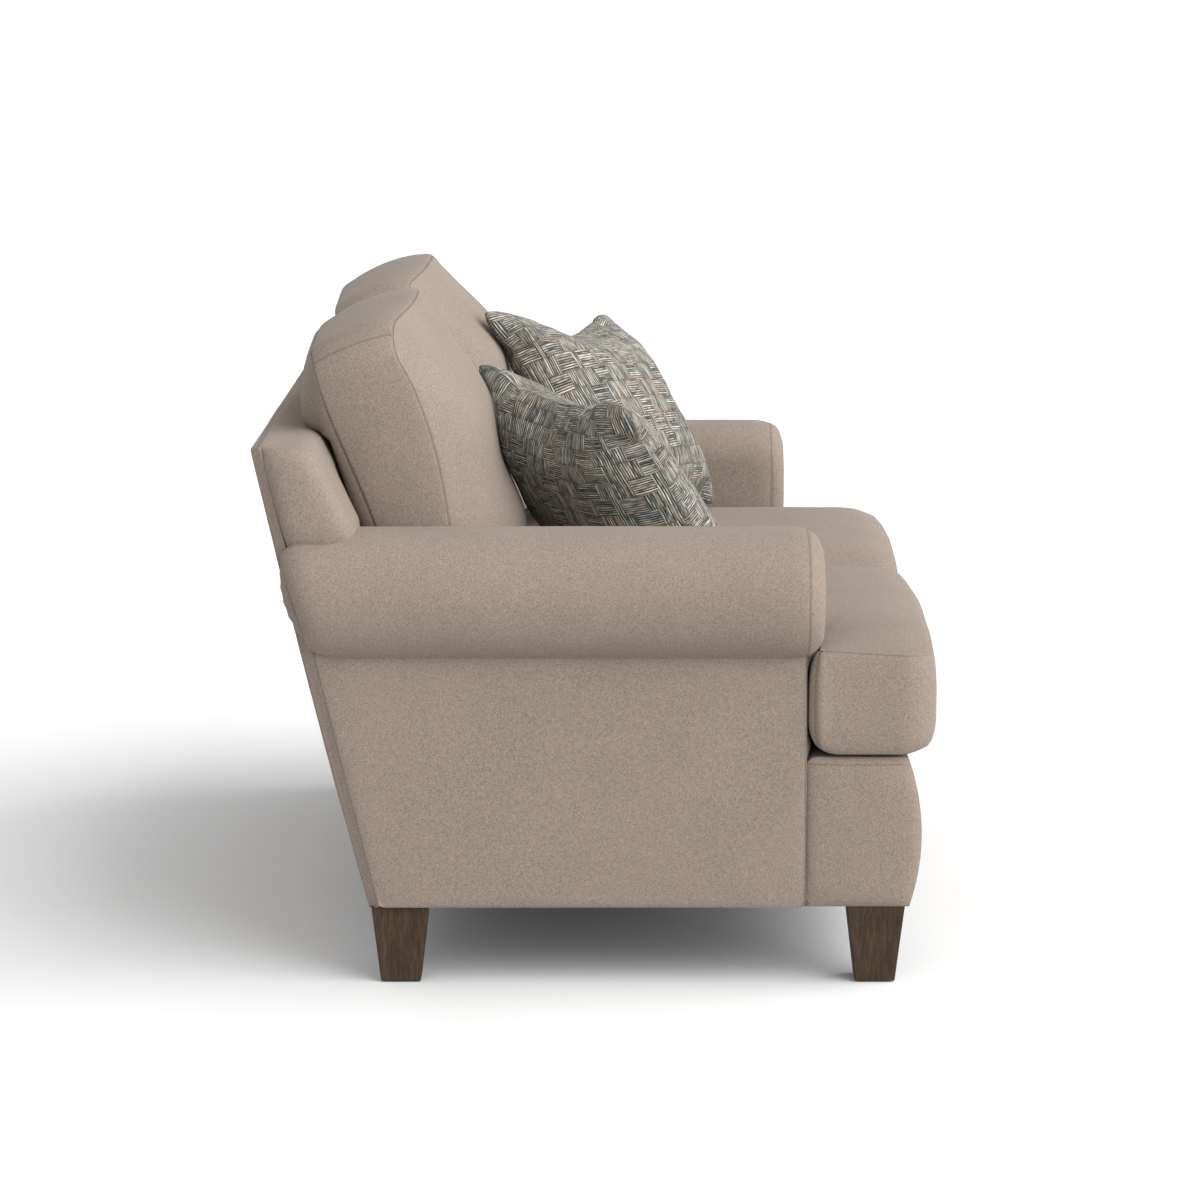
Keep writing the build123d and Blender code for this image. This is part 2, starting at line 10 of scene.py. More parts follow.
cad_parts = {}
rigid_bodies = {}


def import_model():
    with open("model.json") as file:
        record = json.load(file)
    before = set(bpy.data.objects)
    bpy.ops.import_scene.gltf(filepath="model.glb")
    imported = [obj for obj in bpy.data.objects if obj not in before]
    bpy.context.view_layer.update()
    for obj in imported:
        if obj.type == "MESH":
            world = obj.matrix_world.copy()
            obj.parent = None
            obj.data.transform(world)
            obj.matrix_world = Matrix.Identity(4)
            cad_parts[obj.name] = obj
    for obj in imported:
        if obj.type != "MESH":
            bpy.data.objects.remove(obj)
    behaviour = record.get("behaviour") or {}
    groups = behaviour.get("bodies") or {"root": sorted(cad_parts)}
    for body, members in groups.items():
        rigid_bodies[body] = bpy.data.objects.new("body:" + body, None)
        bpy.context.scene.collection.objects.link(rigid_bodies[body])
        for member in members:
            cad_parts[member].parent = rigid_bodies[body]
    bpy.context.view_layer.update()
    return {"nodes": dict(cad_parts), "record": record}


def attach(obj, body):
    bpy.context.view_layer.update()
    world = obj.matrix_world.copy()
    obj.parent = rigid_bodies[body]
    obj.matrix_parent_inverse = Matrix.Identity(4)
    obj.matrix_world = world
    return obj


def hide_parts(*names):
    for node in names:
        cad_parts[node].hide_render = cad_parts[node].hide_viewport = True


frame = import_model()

scene = bpy.context.scene
scene.view_settings.view_transform = "Standard"
scene.view_settings.look = "None"


# ------------------------------------------------------------------ camera
cam_data = bpy.data.cameras.new("camera")
cam_data.lens, cam_data.sensor_width = 128.5, 36.0
cam_data.clip_end = 400.0
camera = bpy.data.objects.new("camera", cam_data)
pitch = math.radians(9.0)
camera.location = (-6.82, -0.0035, 1.529)
camera.rotation_euler = Vector((math.cos(pitch), 0, -math.sin(pitch))).to_track_quat("-Z", "Y").to_euler()
scene.collection.objects.link(camera)
scene.camera = camera


# ------------------------------------------------------------------ materials
class Nodes:
    """Small helper that adds nodes and links in one material."""

    def __init__(self, name):
        self.mat = bpy.data.materials.new(name)
        self.mat.use_nodes = True
        self.t = self.mat.node_tree
        self.t.nodes.clear()
        self.out = self.t.nodes.new("ShaderNodeOutputMaterial")
        self.bsdf = self.t.nodes.new("ShaderNodeBsdfPrincipled")
        self.t.links.new(self.bsdf.outputs[0], self.out.inputs[0])

    def new(self, kind, **values):
        n = self.t.nodes.new("ShaderNode" + kind)
        for k, v in values.items():
            setattr(n, k, v)
        return n

    def link(self, a, b):
        self.t.links.new(a, b)

    def put(self, socket, value):
        if isinstance(value, bpy.types.NodeSocket):
            self.link(value, socket)
        else:
            socket.default_value = value

    def math(self, op, a, b=0.0, c=None, clamp=False):
        n = self.new("Math", operation=op, use_clamp=clamp)
        self.put(n.inputs[0], a)
        self.put(n.inputs[1], b)
        if c is not None:
            self.put(n.inputs[2], c)
        return n.outputs[0]

    def mix(self, f, a, b, blend="MIX"):
        n = self.new("Mix", data_type="RGBA", blend_type=blend)
        self.put(n.inputs[0], f)
        self.put(n.inputs[6], a)
        self.put(n.inputs[7], b)
        return n.outputs[2]

    def ramp(self, f, stops, interp="LINEAR"):
        n = self.new("ValToRGB")
        n.color_ramp.interpolation = interp
        e = n.color_ramp.elements
        while len(e) < len(stops):
            e.new(0.5)
        for k, (p, c) in enumerate(stops):
            e[k].position = p
            e[k].color = (*c, 1.0) if len(c) == 3 else c
        self.put(n.inputs[0], f)
        return n.outputs[0]

    def uv(self):
        return self.new("UVMap", uv_map="UVMap").outputs[0]

    def obj(self):
        return self.new("TexCoord").outputs["Object"]

    def mapping(self, vec, scale=(1, 1, 1), rot=(0, 0, 0), loc=(0, 0, 0)):
        n = self.new("Mapping")
        self.put(n.inputs[0], vec)
        n.inputs[1].default_value = loc
        n.inputs[2].default_value = rot
        n.inputs[3].default_value = scale
        return n.outputs[0]

    def noise(self, vec, scale, detail=2.0, rough=0.5, dist=0.0):
        n = self.new("TexNoise")
        self.put(n.inputs["Vector"], vec)
        n.inputs["Scale"].default_value = scale
        n.inputs["Detail"].default_value = detail
        n.inputs["Roughness"].default_value = rough
        n.inputs["Distortion"].default_value = dist
        return n.outputs[0]

    def bump(self, height, strength, distance):
        n = self.new("Bump")
        n.inputs["Strength"].default_value = strength
        n.inputs["Distance"].default_value = distance
        self.put(n.inputs["Height"], height)
        self.link(n.outputs[0], self.bsdf.inputs["Normal"])


def fabric(name, dark, light, fleck, weave=1.0, sheen=0.05):
    """Heathered plain-weave cloth: fine crossing threads, mottled yarn and darker and paler flecks."""
    m = Nodes(name)
    p = m.obj()
    fx = m.noise(m.mapping(p, (360, 1400, 1400)), 1.0, 1.5, 0.6)
    fy = m.noise(m.mapping(p, (1400, 360, 1400), loc=(7.3, 2.1, 4.0)), 1.0, 1.5, 0.6)
    fz = m.noise(m.mapping(p, (1400, 1400, 360), loc=(1.9, 6.4, 8.0)), 1.0, 1.5, 0.6)
    mott = m.noise(m.mapping(p, (480, 480, 480), loc=(1.7, 9.2, 0)), 1.0, 2.0, 0.65)
    cloud = m.noise(m.mapping(p, (9, 9, 9), loc=(4.4, 3.3, 0)), 1.0, 2.0, 0.5)
    yarn = m.math("MULTIPLY", m.math("ADD", fx, m.math("ADD", fy, fz)), 0.3333)
    f = m.math("ADD", m.math("MULTIPLY", yarn, 0.55), m.math("ADD", m.math("MULTIPLY", mott, 0.40), m.math("MULTIPLY", cloud, 0.05)))
    colour = m.ramp(f, [(0.37, dark), (0.63, light)])
    fl = m.noise(m.mapping(p, (640, 640, 640), loc=(3.9, 5.1, 0)), 1.0, 1.0, 0.5)
    colour = m.mix(m.math("MULTIPLY", m.math("SUBTRACT", fl, 0.60, clamp=True), 5.0, clamp=True), colour, fleck)
    # painted shade: the cloth darkens along its seam lines, standing in for the shade inside their grooves
    seam = m.new("Attribute", attribute_name="seam").outputs["Fac"]
    colour = m.mix(m.math("MULTIPLY", seam, 0.38), colour, tuple(c * 0.45 for c in dark) + (1.0,))
    m.link(colour, m.bsdf.inputs["Base Color"])
    rough = m.math("ADD", m.math("MULTIPLY", yarn, 0.12), 0.82)
    m.link(rough, m.bsdf.inputs["Roughness"])
    m.bsdf.inputs["Specular IOR Level"].default_value = 0.18
    m.bsdf.inputs["Sheen Weight"].default_value = sheen
    m.bsdf.inputs["Sheen Roughness"].default_value = 0.45
    m.bump(m.math("ADD", yarn, m.math("MULTIPLY", mott, 0.4)), 0.35 * weave, 0.0006)
    return m.mat


def basket(name):
    """Coarse basket-weave tweed: blocks of parallel yarns, upright and level in turn, with broken dark, pale and rust yarns."""
    m = Nodes(name)
    uv0 = m.uv()
    wob = m.new("TexNoise")
    m.link(uv0, wob.inputs["Vector"])
    wob.inputs["Scale"].default_value = 13.0
    wob.inputs["Detail"].default_value = 1.0
    off = m.new("VectorMath", operation="MULTIPLY_ADD")
    m.link(wob.outputs["Color"], off.inputs[0])
    off.inputs[1].default_value = (0.007, 0.007, 0.0)
    m.link(uv0, off.inputs[2])
    sep = m.new("SeparateXYZ")
    m.link(off.outputs[0], sep.inputs[0])
    u, v = sep.outputs[0], sep.outputs[1]
    cv = m.math("MULTIPLY", v, 1 / 0.032)
    iv = m.math("FLOOR", cv)
    # blocks are stepped from row to row
    cu = m.math("ADD", m.math("MULTIPLY", u, 1 / 0.048), m.math("MULTIPLY", m.math("FLOORED_MODULO", iv, 3.0), 0.37))
    iu = m.math("FLOOR", cu)
    fu, fv = m.math("FRACT", cu), m.math("FRACT", cv)
    cell = m.new("CombineXYZ")
    m.link(iu, cell.inputs[0])
    m.link(iv, cell.inputs[1])
    rnd = m.new("TexWhiteNoise", noise_dimensions="2D")
    m.link(cell.outputs[0], rnd.inputs["Vector"])
    turn = m.math("FLOORED_MODULO", m.math("ADD", m.math("ADD", iu, iv), m.math("LESS_THAN", rnd.outputs[0], 0.14)), 2.0)
    # a narrow bundle of upright yarns runs through at the side of each block
    upright = m.math("MAXIMUM", m.math("LESS_THAN", turn, 0.5), m.math("LESS_THAN", fu, 0.24))
    level = m.math("SUBTRACT", 1.0, upright)

    def yarns(across, along, seed):
        k = m.math("FLOOR", m.math("MULTIPLY", across, 480.0))
        comb = m.new("CombineXYZ")
        m.link(m.math("ADD", k, seed), comb.inputs[0])
        m.link(m.math("ADD", m.math("MULTIPLY", iu, 3.0), m.math("MULTIPLY", iv, 11.0)), comb.inputs[1])
        wn = m.new("TexWhiteNoise", noise_dimensions="2D")
        m.link(comb.outputs[0], wn.inputs["Vector"])
        comb2 = m.new("CombineXYZ")
        m.link(m.math("MULTIPLY", m.math("ADD", k, seed), 5.37), comb2.inputs[0])
        m.link(m.math("MULTIPLY", along, 58.0), comb2.inputs[1])
        slub = m.noise(comb2.outputs[0], 1.0, 1.0, 0.5)
        turn_k = m.math("FLOORED_MODULO", k, 2.0)
        pick = m.math("ADD", m.math("ADD", m.math("MULTIPLY", turn_k, 0.44), m.math("MULTIPLY", wn.outputs[0], 0.46)),
                      m.math("MULTIPLY", m.math("SUBTRACT", slub, 0.47), 1.15), clamp=True)
        col = m.ramp(pick, [(0.0, (0.010, 0.014, 0.016)), (0.22, (0.026, 0.035, 0.038)), (0.42, (0.072, 0.081, 0.077)), (0.58, (0.175, 0.168, 0.142)),
                            (0.76, (0.335, 0.31, 0.258)), (1.0, (0.55, 0.515, 0.437))])
        tan = m.math("MULTIPLY", m.math("GREATER_THAN", wn.outputs[0], 0.86), m.math("GREATER_THAN", slub, 0.42))
        col = m.mix(m.math("MULTIPLY", tan, 0.6), col, (0.170, 0.100, 0.060, 1.0))
        fr = m.math("FRACT", m.math("MULTIPLY", across, 480.0))
        return col, m.math("SINE", m.math("MULTIPLY", fr, math.pi))

    ca, ha = yarns(u, v, 0.0)
    cb, hb = yarns(v, u, 41.0)
    colour = m.mix(upright, cb, ca)
    height = m.math("ADD", m.math("MULTIPLY", upright, ha), m.math("MULTIPLY", level, hb))
    # rust yarn along the lower edge of some floats
    comb3 = m.new("CombineXYZ")
    m.link(m.math("MULTIPLY", u, 46.0), comb3.inputs[0])
    m.link(m.math("MULTIPLY", iv, 3.7), comb3.inputs[1])
    run = m.math("GREATER_THAN", m.noise(comb3.outputs[0], 1.0, 1.0, 0.5), 0.51)
    rust = m.math("MULTIPLY", m.math("LESS_THAN", fv, 0.08), run)
    colour = m.mix(m.math("MULTIPLY", rust, 0.75), colour, (0.130, 0.066, 0.036, 1.0))
    # painted shade: each yarn is darker towards its sides, where it meets the next yarn
    dark = m.math("ADD", m.math("MULTIPLY", m.math("POWER", height, 0.6), 0.40), 0.66)
    colour = m.mix(1.0, colour, dark, "MULTIPLY")
    # floats dip where they go under their neighbour; the colour darkens there as painted shade
    edge_u = m.math("MULTIPLY", m.math("MULTIPLY", fu, m.math("SUBTRACT", 1.0, fu)), 4.0)
    edge_v = m.math("MULTIPLY", m.math("MULTIPLY", fv, m.math("SUBTRACT", 1.0, fv)), 4.0)
    pad = m.math("POWER", m.math("ADD", m.math("MULTIPLY", upright, edge_v), m.math("MULTIPLY", level, edge_u)), 0.35)
    colour = m.mix(1.0, colour, m.math("ADD", m.math("MULTIPLY", pad, 0.36), 0.68), "MULTIPLY")
    seam = m.new("Attribute", attribute_name="seam").outputs["Fac"]
    colour = m.mix(m.math("MULTIPLY", seam, 0.45), colour, (0.03, 0.032, 0.030, 1.0))
    m.link(colour, m.bsdf.inputs["Base Color"])
    m.bsdf.inputs["Roughness"].default_value = 0.92
    m.bsdf.inputs["Specular IOR Level"].default_value = 0.15
    m.bsdf.inputs["Sheen Weight"].default_value = 0.1
    m.bump(m.math("ADD", height, m.math("MULTIPLY", pad, 1.6)), 0.7, 0.0012)
    return m.mat


def wood(name, dark, mid, light, scale=1.0, rough=0.45, axis="Z", spec=0.35):
    """Straight-grained timber: long fibres along one axis, pores and slow colour drift."""
    m = Nodes(name)
    p = m.obj()
    long = {"X": (14, 260, 260), "Y": (260, 14, 260), "Z": (260, 260, 14)}[axis]
    long = tuple(v * scale for v in long)
    fib = m.noise(m.mapping(p, long), 1.0, 3.0, 0.6, 0.3)
    fine = m.noise(m.mapping(p, tuple(v * 3.3 for v in long)), 1.0, 2.0, 0.6)
    slow = m.noise(m.mapping(p, tuple(v * 0.18 for v in long)), 1.0, 2.0, 0.5, 1.2)
    f = m.math("ADD", m.math("MULTIPLY", fib, 0.5), m.math("ADD", m.math("MULTIPLY", fine, 0.28), m.math("MULTIPLY", slow, 0.22)))
    colour = m.ramp(f, [(0.32, dark), (0.5, mid), (0.68, light)])
    m.link(colour, m.bsdf.inputs["Base Color"])
    m.link(m.math("ADD", m.math("MULTIPLY", fine, 0.25), rough - 0.12), m.bsdf.inputs["Roughness"])
    m.bsdf.inputs["Specular IOR Level"].default_value = spec
    m.bump(f, 0.35, 0.0005)
    return m.mat


def metal(name, a, b, rough):
    m = Nodes(name)
    n = m.noise(m.mapping(m.obj(), (90, 90, 900)), 1.0, 3.0, 0.6)
    s = m.noise(m.obj(), 35.0, 3.0, 0.6)
    m.link(m.ramp(m.math("ADD", m.math("MULTIPLY", n, 0.5), m.math("MULTIPLY", s, 0.5)), [(0.35, a), (0.65, b)]), m.bsdf.inputs["Base Color"])
    m.bsdf.inputs["Metallic"].default_value = 1.0
    m.link(m.math("ADD", m.math("MULTIPLY", n, 0.25), rough - 0.1), m.bsdf.inputs["Roughness"])
    m.bump(n, 0.15, 0.0003)
    return m.mat


def plain_cloth(name, a, b, scale=900.0, rough=0.95, thread=1.0):
    """Simple woven or spun cloth in object space, for what lies inside and below."""
    m = Nodes(name)
    p = m.obj()
    x = m.noise(m.mapping(p, (scale, scale * 0.12, scale)), 1.0, 1.0, 0.5)
    y = m.noise(m.mapping(p, (scale * 0.12, scale, scale), loc=(3, 1, 2)), 1.0, 1.0, 0.5)
    f = m.math("ADD", m.math("MULTIPLY", x, 0.5), m.math("MULTIPLY", y, 0.5))
    m.link(m.ramp(f, [(0.36, a), (0.64, b)]), m.bsdf.inputs["Base Color"])
    m.link(m.math("ADD", m.math("MULTIPLY", f, 0.1), rough - 0.05), m.bsdf.inputs["Roughness"])
    m.bsdf.inputs["Specular IOR Level"].default_value = 0.15
    m.bump(f, 0.4 * thread, 0.0008)
    return m.mat


def foam(name):
    m = Nodes(name)
    p = m.obj()
    v = m.new("TexVoronoi")
    m.link(p, v.inputs["Vector"])
    v.inputs["Scale"].default_value = 420.0
    n = m.noise(p, 25.0, 3.0, 0.6)
    f = m.math("ADD", m.math("MULTIPLY", v.outputs[0], 0.6), m.math("MULTIPLY", n, 0.4))
    m.link(m.ramp(f, [(0.2, (0.62, 0.56, 0.40)), (0.7, (0.82, 0.77, 0.62))]), m.bsdf.inputs["Base Color"])
    m.bsdf.inputs["Roughness"].default_value = 0.95
    m.bump(v.outputs[0], 0.5, 0.001)
    return m.mat


def plastic(name, a, b, rough):
    m = Nodes(name)
    n = m.noise(m.obj(), 600.0, 3.0, 0.6)
    m.link(m.ramp(n, [(0.35, a), (0.65, b)]), m.bsdf.inputs["Base Color"])
    m.link(m.math("ADD", m.math("MULTIPLY", n, 0.2), rough - 0.1), m.bsdf.inputs["Roughness"])
    m.bump(n, 0.2, 0.0002)
    return m.mat


MAT = {
    "upholstery_fabric": fabric("taupe_upholstery", (0.109, 0.086, 0.069), (0.257, 0.210, 0.174), (0.074, 0.066, 0.064, 1.0)),
    "pillow_fabric": basket("basket_tweed"),
    "leg_wood": wood("dark_stained_wood", (0.0135, 0.0080, 0.0044), (0.034, 0.0204, 0.0112), (0.064, 0.040, 0.0230), 1.0, 0.58, spec=0.18),
    "frame_wood": wood("bare_frame_wood", (0.36, 0.23, 0.12), (0.50, 0.34, 0.19), (0.62, 0.45, 0.27), 0.5, 0.7, "X"),
    "filling": foam("cushion_foam"),
    "deck_cloth": plain_cloth("deck_cloth", (0.13, 0.115, 0.10), (0.21, 0.19, 0.165)),
    "dust_cloth": plain_cloth("dust_cloth", (0.012, 0.012, 0.012), (0.035, 0.035, 0.035), 500.0),
    "webbing": plain_cloth("jute_webbing", (0.22, 0.15, 0.08), (0.42, 0.31, 0.18), 420.0, 0.95, 1.6),
    "spring_steel": metal("spring_steel", (0.16, 0.16, 0.17), (0.30, 0.30, 0.31), 0.42),
    "hardware_steel": metal("zinc_steel", (0.42, 0.42, 0.42), (0.62, 0.62, 0.61), 0.38),
    "glide_plastic": plastic("nylon_glide", (0.015, 0.015, 0.015), (0.04, 0.04, 0.04), 0.55),
    "zip_tape": plain_cloth("zip_tape", (0.12, 0.10, 0.085), (0.22, 0.19, 0.165), 1400.0),
    "zip_metal": metal("zip_metal", (0.13, 0.12, 0.11), (0.24, 0.23, 0.21), 0.4),
}
slot_of = {s["node"]: s["material_slot"] for s in frame["record"]["subparts"]}
for node, o in frame["nodes"].items():
    mat = MAT[slot_of[node]]
    if o.data.materials:
        for k in range(len(o.data.materials)):
            o.data.materials[k] = mat
    else:
        o.data.materials.append(mat)


# ------------------------------------------------------------------ outlines
def resample(pts, step):
    """Closed polyline with near-even spacing."""
    p = np.asarray(pts, float)
    q = np.vstack([p, p[:1]])
    seg = np.linalg.norm(np.diff(q, axis=0), axis=1)
    s = np.concatenate([[0], np.cumsum(seg)])
    n = max(12, int(round(s[-1] / step)))
    t = np.linspace(0, s[-1], n, endpoint=False)
    return np.stack([np.interp(t, s, q[:, k]) for k in range(2)], 1)


def rounded(corners, arc=14):
    """Closed polygon from (x, y, radius) corners, counter-clockwise, each corner an arc."""
    out = []
    m = len(corners)
    for k in range(m):
        p0, p1, p2 = (np.array(corners[(k + d) % m][:2], float) for d in (-1, 0, 1))
        r = corners[k][2]
        if r <= 0:
            out.append(p1)
            continue
        a, b = (p0 - p1) / np.linalg.norm(p0 - p1), (p2 - p1) / np.linalg.norm(p2 - p1)
        half = math.acos(max(-1, min(1, float(a @ b)))) / 2
        d = r / math.tan(half)
        bis = (a + b) / np.linalg.norm(a + b)
        c = p1 + bis * (r / math.sin(half))
        s, e = p1 + a * d - c, p1 + b * d - c
        a0, a1 = math.atan2(s[1], s[0]), math.atan2(e[1], e[0])
        da = (a1 - a0 + math.pi) % (2 * math.pi) - math.pi
        for t in np.linspace(0, 1, arc):
            out.append(c + r * np.array([math.cos(a0 + da * t), math.sin(a0 + da * t)]))
    return np.array(out)


def crowd(outline, points, near=(0.0013, 0.0030, 0.0055)):
    """Adds outline points close to each given point, so that an upright seam can be shaped there."""
    p = np.asarray(outline, float)
    for w in points:
        q = np.vstack([p, p[:1]])
        seg = np.linalg.norm(np.diff(q, axis=0), axis=1)
        s = np.concatenate([[0], np.cumsum(seg)])
        best, at = 1e9, 0.0
        for k in range(len(p)):
            ab = q[k + 1] - q[k]
            t = np.clip((np.asarray(w) - q[k]) @ ab / max(ab @ ab, 1e-12), 0, 1)
            d = np.linalg.norm(q[k] + ab * t - w)
            if d < best:
                best, at = d, s[k] + seg[k] * t
        keep = [s[k] for k in range(len(p)) if abs((s[k] - at + s[-1] / 2) % s[-1] - s[-1] / 2) > near[-1] + 0.001]
        new = sorted([x % s[-1] for x in keep + [at] + [at + d for d in near] + [at - d for d in near]])
        p = np.stack([np.interp(new, s, q[:, k]) for k in range(2)], 1)
    return p


def out_normals(p):
    t = np.roll(p, -1, 0) - np.roll(p, 1, 0)
    t /= np.maximum(np.linalg.norm(t, axis=1, keepdims=True), 1e-9)
    n = np.stack([t[:, 1], -t[:, 0]], 1)
    n = n + 0.5 * (np.roll(n, 1, 0) + np.roll(n, -1, 0))
    return n / np.maximum(np.linalg.norm(n, axis=1, keepdims=True), 1e-9)


def dist_to(poly, pts):
    a, b = poly, np.roll(poly, -1, 0)
    ab = b - a
    L = np.maximum((ab**2).sum(1), 1e-14)
    best = np.full(len(pts), 1e9)
    for s in range(0, len(pts), 1500):
        p = pts[s:s + 1500, None, :]
        t = np.clip(((p - a) * ab).sum(2) / L, 0, 1)
        d = np.linalg.norm(p - (a + ab * t[..., None]), axis=2)
        best[s:s + 1500] = d.min(1)
    return best


def nearest(poly, pts):
    """Segment and place on it that lies nearest to each point."""
    a, ab = poly, np.roll(poly, -1, 0) - poly
    L = np.maximum((ab**2).sum(1), 1e-14)
    seg, at = np.zeros(len(pts), int), np.zeros(len(pts))
    for s in range(0, len(pts), 1500):
        p = pts[s:s + 1500, None, :]
        t = np.clip(((p - a) * ab).sum(2) / L, 0, 1)
        d = ((p - (a + ab * t[..., None])) ** 2).sum(2)
        k = d.argmin(1)
        seg[s:s + 1500] = k
        at[s:s + 1500] = t[np.arange(len(k)), k]
    return seg, at


def dist_to_open(line, pts):
    a, ab = line[:-1], np.diff(line, axis=0)
    L = np.maximum((ab**2).sum(1), 1e-14)
    t = np.clip(((pts[:, None, :] - a) * ab).sum(2) / L, 0, 1)
    return np.linalg.norm(pts[:, None, :] - (a + ab * t[..., None]), axis=2).min(1)


def inside(poly, pts):
    x, y = pts[:, 0], pts[:, 1]
    r = np.zeros(len(pts), bool)
    for (x0, y0), (x1, y1) in zip(poly, np.roll(poly, -1, 0)):
        c = (y0 > y) != (y1 > y)
        if c.any():
            r ^= c & (x < (x1 - x0) * (y - y0) / (y1 - y0 + 1e-18) + x0)
    return r


def cap_mesh(outline, step, rings, lines=()):
    """Triangles that fill an outline, finer towards its edge and beside sewn lines. The outline's points come first."""
    nrm = out_normals(outline)
    groups = [outline]
    for k, d in enumerate(rings):
        every = 1 if d < step * 0.7 else 2
        c = (outline - nrm * d)[::every]
        ok = inside(outline, c) & (dist_to(outline, c) > 0.93 * d)
        groups.append(c[ok])
    lo, hi = outline.min(0), outline.max(0)
    xs = np.arange(lo[0], hi[0], step)
    ys = np.arange(lo[1], hi[1], step * 0.866)
    gx, gy = np.meshgrid(xs, ys)
    gx = gx + (np.arange(len(ys)) % 2)[:, None] * step / 2
    g = np.stack([gx.ravel(), gy.ravel()], 1)
    g = g[inside(outline, g)]
    g = g[dist_to(outline, g) > rings[-1] + step * 0.55]
    for ln_ in lines:
        ln_ = np.asarray(ln_, float)
        t = np.gradient(ln_, axis=0)
        t /= np.linalg.norm(t, axis=1, keepdims=True)
        side = np.stack([t[:, 1], -t[:, 0]], 1)
        band = np.vstack([ln_ + side * d for d in (-0.0030, -0.0013, 0.0, 0.0013, 0.0030)])
        groups = [groups[0]] + [q[np.sqrt(((q[:, None, :] - ln_) ** 2).sum(2)).min(1) > 0.0042] for q in groups[1:]] + [band]
        g = g[np.sqrt(((g[:, None, :] - ln_) ** 2).sum(2)).min(1) > 0.006]
    pts = np.vstack(groups + [g])
    n = len(outline)
    edges = [(k, (k + 1) % n) for k in range(n)]
    v, _, f, orig, _, _ = delaunay_2d_cdt([Vector(p) for p in pts], edges, [], 1, 1e-6)
    first = {}
    for k, src in enumerate(orig):
        for s in src:
            first[s] = k
    order = [first[k] for k in range(n)]
    seen = set(order)
    order += [k for k in range(len(v)) if k not in seen]
    back = {k: i for i, k in enumerate(order)}
    P = np.array([v[k][:] for k in order])
    T = np.array([[back[k] for k in t] for t in f if len(t) == 3])
    a, b, c = P[T[:, 0]], P[T[:, 1]], P[T[:, 2]]
    cr = (b[:, 0] - a[:, 0]) * (c[:, 1] - a[:, 1]) - (b[:, 1] - a[:, 1]) * (c[:, 0] - a[:, 0])
    T[cr < 0] = T[cr < 0][:, ::-1]
    return P, T


def membrane(P, T, n):
    """Shape of a film held along the first n points and blown up evenly, scaled to a highest value of 1."""
    m = len(P)
    rows, cols, w, area = [], [], [], np.zeros(m)
    for i, j, k in ((0, 1, 2), (1, 2, 0), (2, 0, 1)):
        pi, pj, pk = P[T[:, i]], P[T[:, j]], P[T[:, k]]
        e1, e2 = pi - pk, pj - pk
        cr = np.abs(e1[:, 0] * e2[:, 1] - e1[:, 1] * e2[:, 0]) + 1e-12
        cot = np.clip((e1 * e2).sum(1) / cr, 0.02, 20)
        rows += [T[:, i], T[:, j]]
        cols += [T[:, j], T[:, i]]
        w += [cot / 2, cot / 2]
        np.add.at(area, T[:, i], cr / 6)
    rows, cols, w = np.concatenate(rows), np.concatenate(cols), np.concatenate(w)
    diag = np.bincount(rows, w, m)
    free = np.zeros(m, bool)
    free[n:] = True

    def A(x):
        return np.where(free, diag * x - np.bincount(rows, w * x[cols], m), 0)

    x = np.zeros(m)
    r = np.where(free, area, 0)
    z = np.where(free, r / np.maximum(diag, 1e-9), 0)
    p, rz = z.copy(), r @ z
    for _ in range(1200):
        Ap = A(p)
        al = rz / max(p @ Ap, 1e-30)
        x += al * p
        r -= al * Ap
        if np.abs(r).max() < 1e-9:
            break
        z = np.where(free, r / np.maximum(diag, 1e-9), 0)
        rz2 = r @ z
        p = z + rz2 / rz * p
        rz = rz2
    return np.clip(x / x.max(), 0, 1)


def smooth(x, a, b):
    t = np.clip((x - a) / (b - a), 0, 1)
    return t * t * (3 - 2 * t)


RINGS = (0.0012, 0.0028, 0.0055, 0.010, 0.016)


